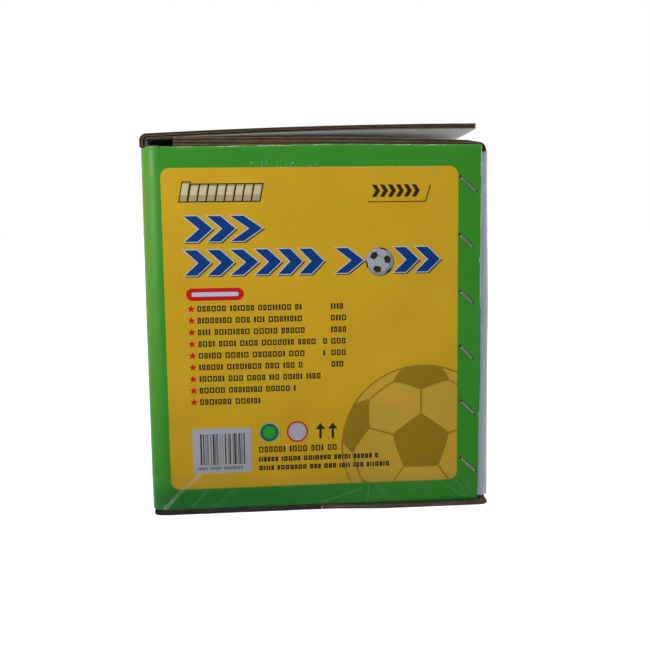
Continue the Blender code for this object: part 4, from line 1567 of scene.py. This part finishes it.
def make_tape_fold():
    """A pleat of doubled film that runs up from the lower left corner."""
    start, end = PLEAT
    along = run_between(start, end)
    across = Vector((-along.y, along.x)).normalized()
    rows = []
    for step in range(PLEAT_STEPS + 1):
        share = step / PLEAT_STEPS
        half = 1.2 + 0.2 * share + 0.2 * math.sin(share * 23)
        bend = 0.8 * math.sin(share * 3.1)
        row = []
        for offset in spread(-half, half, PLEAT_COLUMNS):
            x = to_x(start[0] + along.x * share + across.x * (offset + bend))
            z = to_z(start[1] + along.y * share + across.y * (offset + bend))
            crown = 0.14 * (1 - (offset / half) ** 2) + 0.03 * math.sin(offset * 5 + share * 31)
            inside = max(LEFT + CORNER_RADIUS - x, 0.0)
            back = CORNER_RADIUS - math.sqrt(max(CORNER_RADIUS**2 - inside**2, 0.0))
            y = NEAR + back - near_swell(x, z) - PLEAT_LIFT - max(crown, 0) * MM
            row.append((x - left_shift(x, y, z), y, z))
        rows.append(row)
    make_film("film_pleat", rows, "milky_film")


# Stitching wire

WIRE_WIDE = 0.00165
WIRE_DEEP = 0.00062
WIRE_BEND = 0.0009
WIRE_LIFT = 0.0004
WIRE_SIDES = 16
THROUGH = BOARD * 2 + 0.0003
HOLE = (1.15, 1.0)


def staple_path(length, number):
    """A staple's middle line: from one clinched tip out through the board, along the crown and in again."""
    turn = WIRE_BEND
    tip = [(turn * 2.6, THROUGH + 0.0009), (turn, THROUGH + 0.0006), (0.0, THROUGH - 0.0006)]
    path = tip + [(0.0, turn)]
    path += [(turn - turn * c, turn - turn * s) for c, s in quarter(5)[1:]]
    for step in range(1, 14):
        share = step / 14
        bow = -0.00022 * math.sin(math.pi * share) + 0.0001 * math.sin(share * 9 + number)
        path.append((turn + (length - 2 * turn) * share, bow))
    path += [(length - turn + turn * s, turn - turn * c) for c, s in quarter(5)]
    return path + [(length - a, b) for a, b in reversed(tip)]


def make_staples():
    """Flat wire crowns, a little bowed, whose legs go through both layers and clinch inside."""
    for number, (start, end) in enumerate(reversed(STAPLES), 1):
        run = run_between(start, end) * MM
        along = Vector((run.x, 0, run.y)).normalized()
        side = Vector((0, 1, 0)).cross(along).normalized()
        x, z = to_x(start[0]), to_z(start[1])
        corner = Vector((x, NEAR - near_swell(x + run.x / 2, z + run.y / 2) - WIRE_LIFT, z))
        points = [corner + along * a + Vector((0, b, 0)) for a, b in staple_path(run.length, number)]
        loops = []
        for before, point, after in with_neighbours(points):
            out = side.cross((after - before).normalized()).normalized()
            loop = []
            for c, s in circle(WIRE_SIDES):
                wide = squared(c, 0.6) * WIRE_WIDE / 2
                loop.append(point + side * wide + out * (squared(s, 0.7) * WIRE_DEEP / 2))
            loops.append(loop)
        shape = Shape()
        shape.loft(loops, "steel", cap="steel")
        made = shape.build(f"stitch_{number}", "staple_wire", angle=40)
        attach(made, "carton")
        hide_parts(f"staple_{number}")


def make_staple_holes():
    """The slits that the wire was driven through, torn openings painted near black for the shade inside them.
    """
    sheet = Print()
    for start, end in STAPLES:
        run = run_between(start, end).normalized()
        for spot, reach, size in ((start, -0.7, 1.0), (end, 0.3, 0.7)):
            hole = (spot[0] + run.x * reach, spot[1] + run.y * reach)
            outline = []
            for c, s in circle(12):
                a, b = HOLE[0] * size * c, HOLE[1] * size * s
                outline.append((hole[0] + run.x * a - run.y * b, hole[1] + run.y * a + run.x * b))
            sheet.shape(outline, "pit", 6)
    sheet.build("staple_holes")


# Camera, light and floor

CAMERA_PLACE = (-0.0430, NEAR - 0.5586, 0.1955)
CAMERA_PITCH, CAMERA_YAW, CAMERA_ROLL = (math.radians(degrees) for degrees in (-6.92, 4.767, -0.752))
FLOOR_REACH = 12.0
WHITE = (1.0, 1.0, 1.0, 1.0)
SKY = (0.88, 0.94, 1.10, 1.0)


def make_camera():
    data = bpy.data.cameras.new("camera")
    data.lens = 46.86
    data.sensor_width = 36.0
    camera = linked("camera", data)
    turn = Matrix.Rotation(-CAMERA_YAW, 4, "Z") @ Matrix.Rotation(math.pi / 2 + CAMERA_PITCH, 4, "X")
    turn = turn @ Matrix.Rotation(CAMERA_ROLL, 4, "Z")
    camera.matrix_world = Matrix.Translation(CAMERA_PLACE) @ turn
    bpy.context.scene.camera = camera


def lamp(name, kind, place, target, power, **settings):
    data = bpy.data.lights.new(name, kind)
    data.energy = power
    for setting, value in settings.items():
        setattr(data, setting, value)
    light = linked(name, data)
    aim = (Vector(target) - Vector(place)).to_track_quat("-Z", "Y").to_matrix().to_4x4()
    light.matrix_world = Matrix.Translation(place) @ aim


def make_lamps():
    """A warm beam that fades out below the middle of the printed end, and soft lamps for the rest."""
    beam = {"shadow_soft_size": 0.12, "spot_size": 0.73, "spot_blend": 0.83, "color": (1.0, 0.96, 0.88)}
    lamp("key", "SPOT", (-1.17, NEAR - 0.93, 0.453), (0.01, NEAR, 0.411), 104.0, **beam)
    lamp("right", "AREA", (1.3, 0.4, 0.45), (0.1, -0.3, 0.25), 8.5, size=0.9)
    lamp("top", "AREA", (0.1, 0.0, 2.4), (0.0, 0.0, 0.1), 9.0, size=1.6)
    lamp("back", "AREA", (0.3, 2.6, 1.4), (0.0, FAR, 0.12), 14.0, size=1.6)


def background_share(tree):
    """1 for rays from the camera and for those that metal or glass sends on, 0 for diffuse light."""
    rays = node(tree, "ShaderNodeLightPath")
    share = rays.outputs["Is Camera Ray"]
    for kind in ("Is Glossy Ray", "Is Transmission Ray"):
        share = calculated(tree, "MAXIMUM", share, rays.outputs[kind])
    return share


def make_stage():
    """White all round, with a soft sky and a grey floor for what diffuse light meets."""
    world = bpy.data.worlds.new("studio")
    bpy.context.scene.world = world
    world.use_nodes = True
    tree = world.node_tree
    tree.nodes.clear()
    soft = node(tree, "ShaderNodeBackground", {"Color": SKY, "Strength": 0.57})
    white = node(tree, "ShaderNodeBackground", {"Color": WHITE, "Strength": 1.0})
    surface = mixed(tree, background_share(tree), soft.outputs["Background"], white.outputs["Background"])
    node(tree, "ShaderNodeOutputWorld", {"Surface": surface})

    mesh = bpy.data.meshes.new("floor")
    corners = box_outline(-FLOOR_REACH, FLOOR_REACH, -FLOOR_REACH, FLOOR_REACH)
    mesh.from_pydata([(x, y, 0) for x, y in corners], [], [(0, 1, 2, 3)])
    floor = linked("floor", mesh)
    finish, tree, shader = new_material("floor", (0.85, 0.85, 0.85), 0.9)
    dark = node(tree, "ShaderNodeBsdfDiffuse", {"Color": (0.12, 0.12, 0.12, 1.0)})
    glow = node(tree, "ShaderNodeEmission", {"Color": WHITE, "Strength": 0.8})
    lit = node(tree, "ShaderNodeAddShader", {0: shader.outputs["BSDF"], 1: glow.outputs["Emission"]})
    cover(tree, mixed(tree, background_share(tree), dark.outputs["BSDF"], lit.outputs["Shader"]))
    mesh.materials.append(finish)


NET_CELL = 0.020
NET_SHEETS = 7
NET_CORD = 0.0010
NET_MARGIN = 0.004
NET_SKIN = 0.003
NET_CLEAR = 0.0013
NET_WANDER = 0.0011
NET_SLACK = 0.0022
KNOT = 1.55
CORE_INSET = (0.0075, 0.006, 0.0062)
TIE = 0.0015
TIE_INSET = 0.0016
TIE_PITCH = 0.0034
TIE_PLACES = (0.048, 0.052)
CLIP_RING, CLIP_HALF, CLIP_FLARE = (0.0078, 0.0096), 0.004, 0.0012
HOOK_RING, HOOK_HALF, HOOK_OUT = (0.0026, 0.0042), 0.002, 0.0128
CLIP_EDGES = (0.0175, 0.030)
CLIP_LEVELS = (-0.007, 0.006)
BAG_INSET = (0.001, 0.0005, 0.0012)
BAG_SEAL = 0.0004
BAG_RIPPLE = 0.0008


def tube(shape, points, radii, across, finish, sides=6):
    """A cord through points; across is a direction that the cord never runs in."""
    loops = []
    for (before, point, after), radius in zip(with_neighbours(points), radii):
        side = (after - before).cross(across).normalized()
        up = side.cross(after - before).normalized()
        loops.append([point + (side * c + up * s) * radius for c, s in circle(sides)])
    shape.loft(loops, finish, cap=finish)


def folded_path(low, high, pitch, run):
    """A point of the net's length folded to and fro: how far along the carton, and its level."""
    bend = pitch / 2
    first, last = low.y + NET_MARGIN + bend, high.y - NET_MARGIN - bend
    straight, turn = last - first, math.pi * bend
    sheet = min(int(run / (straight + turn)), NET_SHEETS - 1)
    rest = run - sheet * (straight + turn)
    level = low.z + NET_SKIN + pitch * sheet
    forward = 1 if sheet % 2 == 0 else -1
    start, end = (first, last) if forward > 0 else (last, first)
    if rest <= straight:
        return start + forward * rest, level
    angle = (rest - straight) / bend
    return end + forward * bend * math.sin(angle), level + bend * (1 - math.cos(angle))


def make_net():
    """The net, folded to and fro into a flat bundle and tied round twice."""
    low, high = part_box("folded_net")
    shape = Shape()
    chance = random.Random(61)
    wide = high.x - low.x - 2 * NET_MARGIN
    pitch = (high.z - low.z - 2 * NET_SKIN) / (NET_SHEETS - 1)
    straight = high.y - low.y - 2 * NET_MARGIN - pitch
    whole = NET_SHEETS * straight + (NET_SHEETS - 1) * math.pi * pitch / 2
    step = NET_CELL / 4
    strands = int(wide / NET_CELL)
    for number in range(2 * strands):
        first = wide * number / strands
        wander = chance.uniform(0, 6)
        points, radii = [], []
        for count in range(int(whole / step)):
            run = count * step
            across = (first + run) % (2 * wide)
            across = min(across, 2 * wide - across)
            y, z = folded_path(low, high, pitch, run)
            loose = NET_WANDER * math.sin(run * 61 + wander) * math.sin(across * 47 + 1.3 * number)
            slack = NET_SLACK * math.sin(run * 33 + wander)
            x = low.x + NET_MARGIN + min(max(across + slack, 0.0), wide)
            points.append(Vector((x, y, min(max(z + loose, low.z + NET_CLEAR), high.z - NET_CLEAR))))
            radii.append(NET_CORD * (1.0 if count % 2 else KNOT))
        tube(shape, points, radii, Vector((1, 0, 0)), "cord", 5)
    for y in (low.y + TIE_PLACES[0], high.y - TIE_PLACES[1]):
        for turn in range(3):
            points = []
            for x, z in rounded_box(low.x, high.x, low.z, high.z, 0.012):
                x = min(max(x, low.x + TIE_INSET), high.x - TIE_INSET)
                z = min(max(z, low.z + TIE_INSET), high.z - TIE_INSET)
                points.append(Vector((x, y + TIE_PITCH * turn + 0.002 * math.sin(x * 30), z)))
            points.append(points[0])
            tube(shape, points, [TIE] * len(points), Vector((0, 1, 0)), "cord")
    made = shape.build("net_bundle", "net_cord", angle=60)
    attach(made, "carton")
    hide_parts("folded_net")
    make_net_core(low, high)


def make_net_core(low, high):
    """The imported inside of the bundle, seen between its cords."""
    core = Shape()
    middle = [(a + b) / 2 for a, b in zip(low, high)]
    reach = [(b - a) / 2 - inset for a, b, inset in zip(low, high, CORE_INSET)]
    loops = []
    for step, share in enumerate(spread(-1, 1, 16)):
        shrink = (1 - abs(share) ** 8) ** 0.5 if abs(share) < 1 else 0.6
        loop = []
        for number, (c, s) in enumerate(circle(40)):
            lump = 1 + 0.02 * math.sin(number * 2.1 + step * 1.7)
            x = middle[0] + reach[0] * squared(c, 0.3) * lump
            loop.append((x, middle[1] + share * reach[1], middle[2] + reach[2] * squared(s, 0.4) * shrink))
        loops.append(loop)
    # Painted shade: the core takes the darker copy of the cord's colour.
    core.loft(loops, "cord_deep", cap="cord_deep")
    made = core.build("net_bundle_core", "net_cord", angle=60)
    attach(made, "carton")


def clip_band(shape, place, angles, offset, radii, half):
    """A strip of a clip bent round an arc; radii gives its inner and outer radius at each angle."""
    loops = []
    for angle, (inner, outer) in zip(angles, radii):
        c, s = math.cos(angle), math.sin(angle)
        section = ((inner, -half), (outer, -half), (outer, half), (inner, half))
        loops.append([place(Vector((offset + reach * c, reach * s, z))) for reach, z in section])
    shape.loft(loops, "clip", cap="clip")


def net_clip(shape, centre, turn):
    """A plastic clip that snaps over a pole: an open ring with a hook for the net."""

    def place(point):
        return centre + turn @ point

    flares = [CLIP_FLARE * smooth_step(0.85, 1.0, abs(step - 9) / 9) for step in range(19)]
    flared = [(CLIP_RING[0] + flare, CLIP_RING[1] + flare) for flare in flares]
    ring = [math.radians(degrees) for degrees in spread(-145, 145, 18)]
    hook = [math.radians(degrees) for degrees in spread(180, -45, 8)]
    clip_band(shape, place, ring, 0.0, flared, CLIP_HALF)
    clip_band(shape, place, hook, HOOK_OUT, [HOOK_RING] * len(hook), HOOK_HALF)


def make_clips(low, high):
    """The 25 net clips, in five rows of five, each turned its own way."""
    chance = random.Random(73)
    clips = Shape()
    for column in range(5):
        for row in range(5):
            x = low.x + CLIP_EDGES[0] + (high.x - low.x - 2 * CLIP_EDGES[0]) * column / 4
            y = low.y + CLIP_EDGES[1] + (high.y - low.y - 2 * CLIP_EDGES[1]) * row / 4
            z = (low.z + high.z) / 2 + CLIP_LEVELS[(column + row) % 2]
            turn = Matrix.Rotation(chance.uniform(0, 2 * math.pi), 3, "Z")
            turn = turn @ Matrix.Rotation(math.radians(chance.uniform(-25, 25)), 3, "X")
            spot = Vector((x + chance.uniform(-0.001, 0.001), y + chance.uniform(-0.004, 0.004), z))
            net_clip(clips, spot, turn)
    made = clips.build("net_clips", "clip_bag", angle=35)
    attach(made, "carton")


def make_clip_bag():
    """A clear bag, sealed flat at both ends, with the clips in it."""
    low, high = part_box("net_clip_bag")
    make_clips(low, high)
    bag = Shape()
    middle = (low + high) / 2
    half = (high - low) / 2
    loops = []
    for step, share in enumerate(spread(-1, 1, 46)):
        full = (1 - abs(share) ** 3.0) ** 0.5 if abs(share) < 1 else 0.0
        height = BAG_SEAL + (half.z - BAG_INSET[2]) * smooth_step(0.0, 0.75, full)
        loop = []
        for number, (c, s) in enumerate(circle(48)):
            ripple = BAG_RIPPLE * math.sin(number * 0.8 + step * 0.7) * full
            x = (half.x - BAG_INSET[0]) * squared(c, 0.55) * (0.93 + 0.07 * full)
            z = (height - BAG_RIPPLE * full) * squared(s, 0.8) + ripple * abs(s)
            loop.append((middle.x + x, middle.y + share * (half.y - BAG_INSET[1]), middle.z + z))
        loops.append(loop)
    bag.loft(loops, "bag", cap="bag")
    made = bag.build("clip_bag_film", "clip_bag", angle=60)
    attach(made, "carton")
    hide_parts("net_clip_bag")


def dress_kit():
    """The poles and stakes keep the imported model's shapes and get their finishes."""
    for name, piece in frame["nodes"].items():
        finish = "pole" if "pole" in name else "zinc" if "stake" in name else None
        if finish:
            piece.data.materials.clear()
            piece.data.materials.append(FINISH[finish])


make_camera()
make_stage()
make_lamps()
make_sleeve()
make_lid()
make_inner_flap()
make_end_flaps()
make_bottom_flaps()
for end in ("near", "far"):
    make_panel_print(end)
    make_ball_print(end)
    make_title_print(end)
    make_list_print(end)
    make_small_prints(end)
make_scuffs()
make_torn_fibres()
make_staples()
make_staple_holes()
make_edge_tapes()
make_seam_tape()
make_tape_fold()
make_net()
make_clip_bag()
dress_kit()

bpy.context.scene.view_settings.view_transform = "Standard"
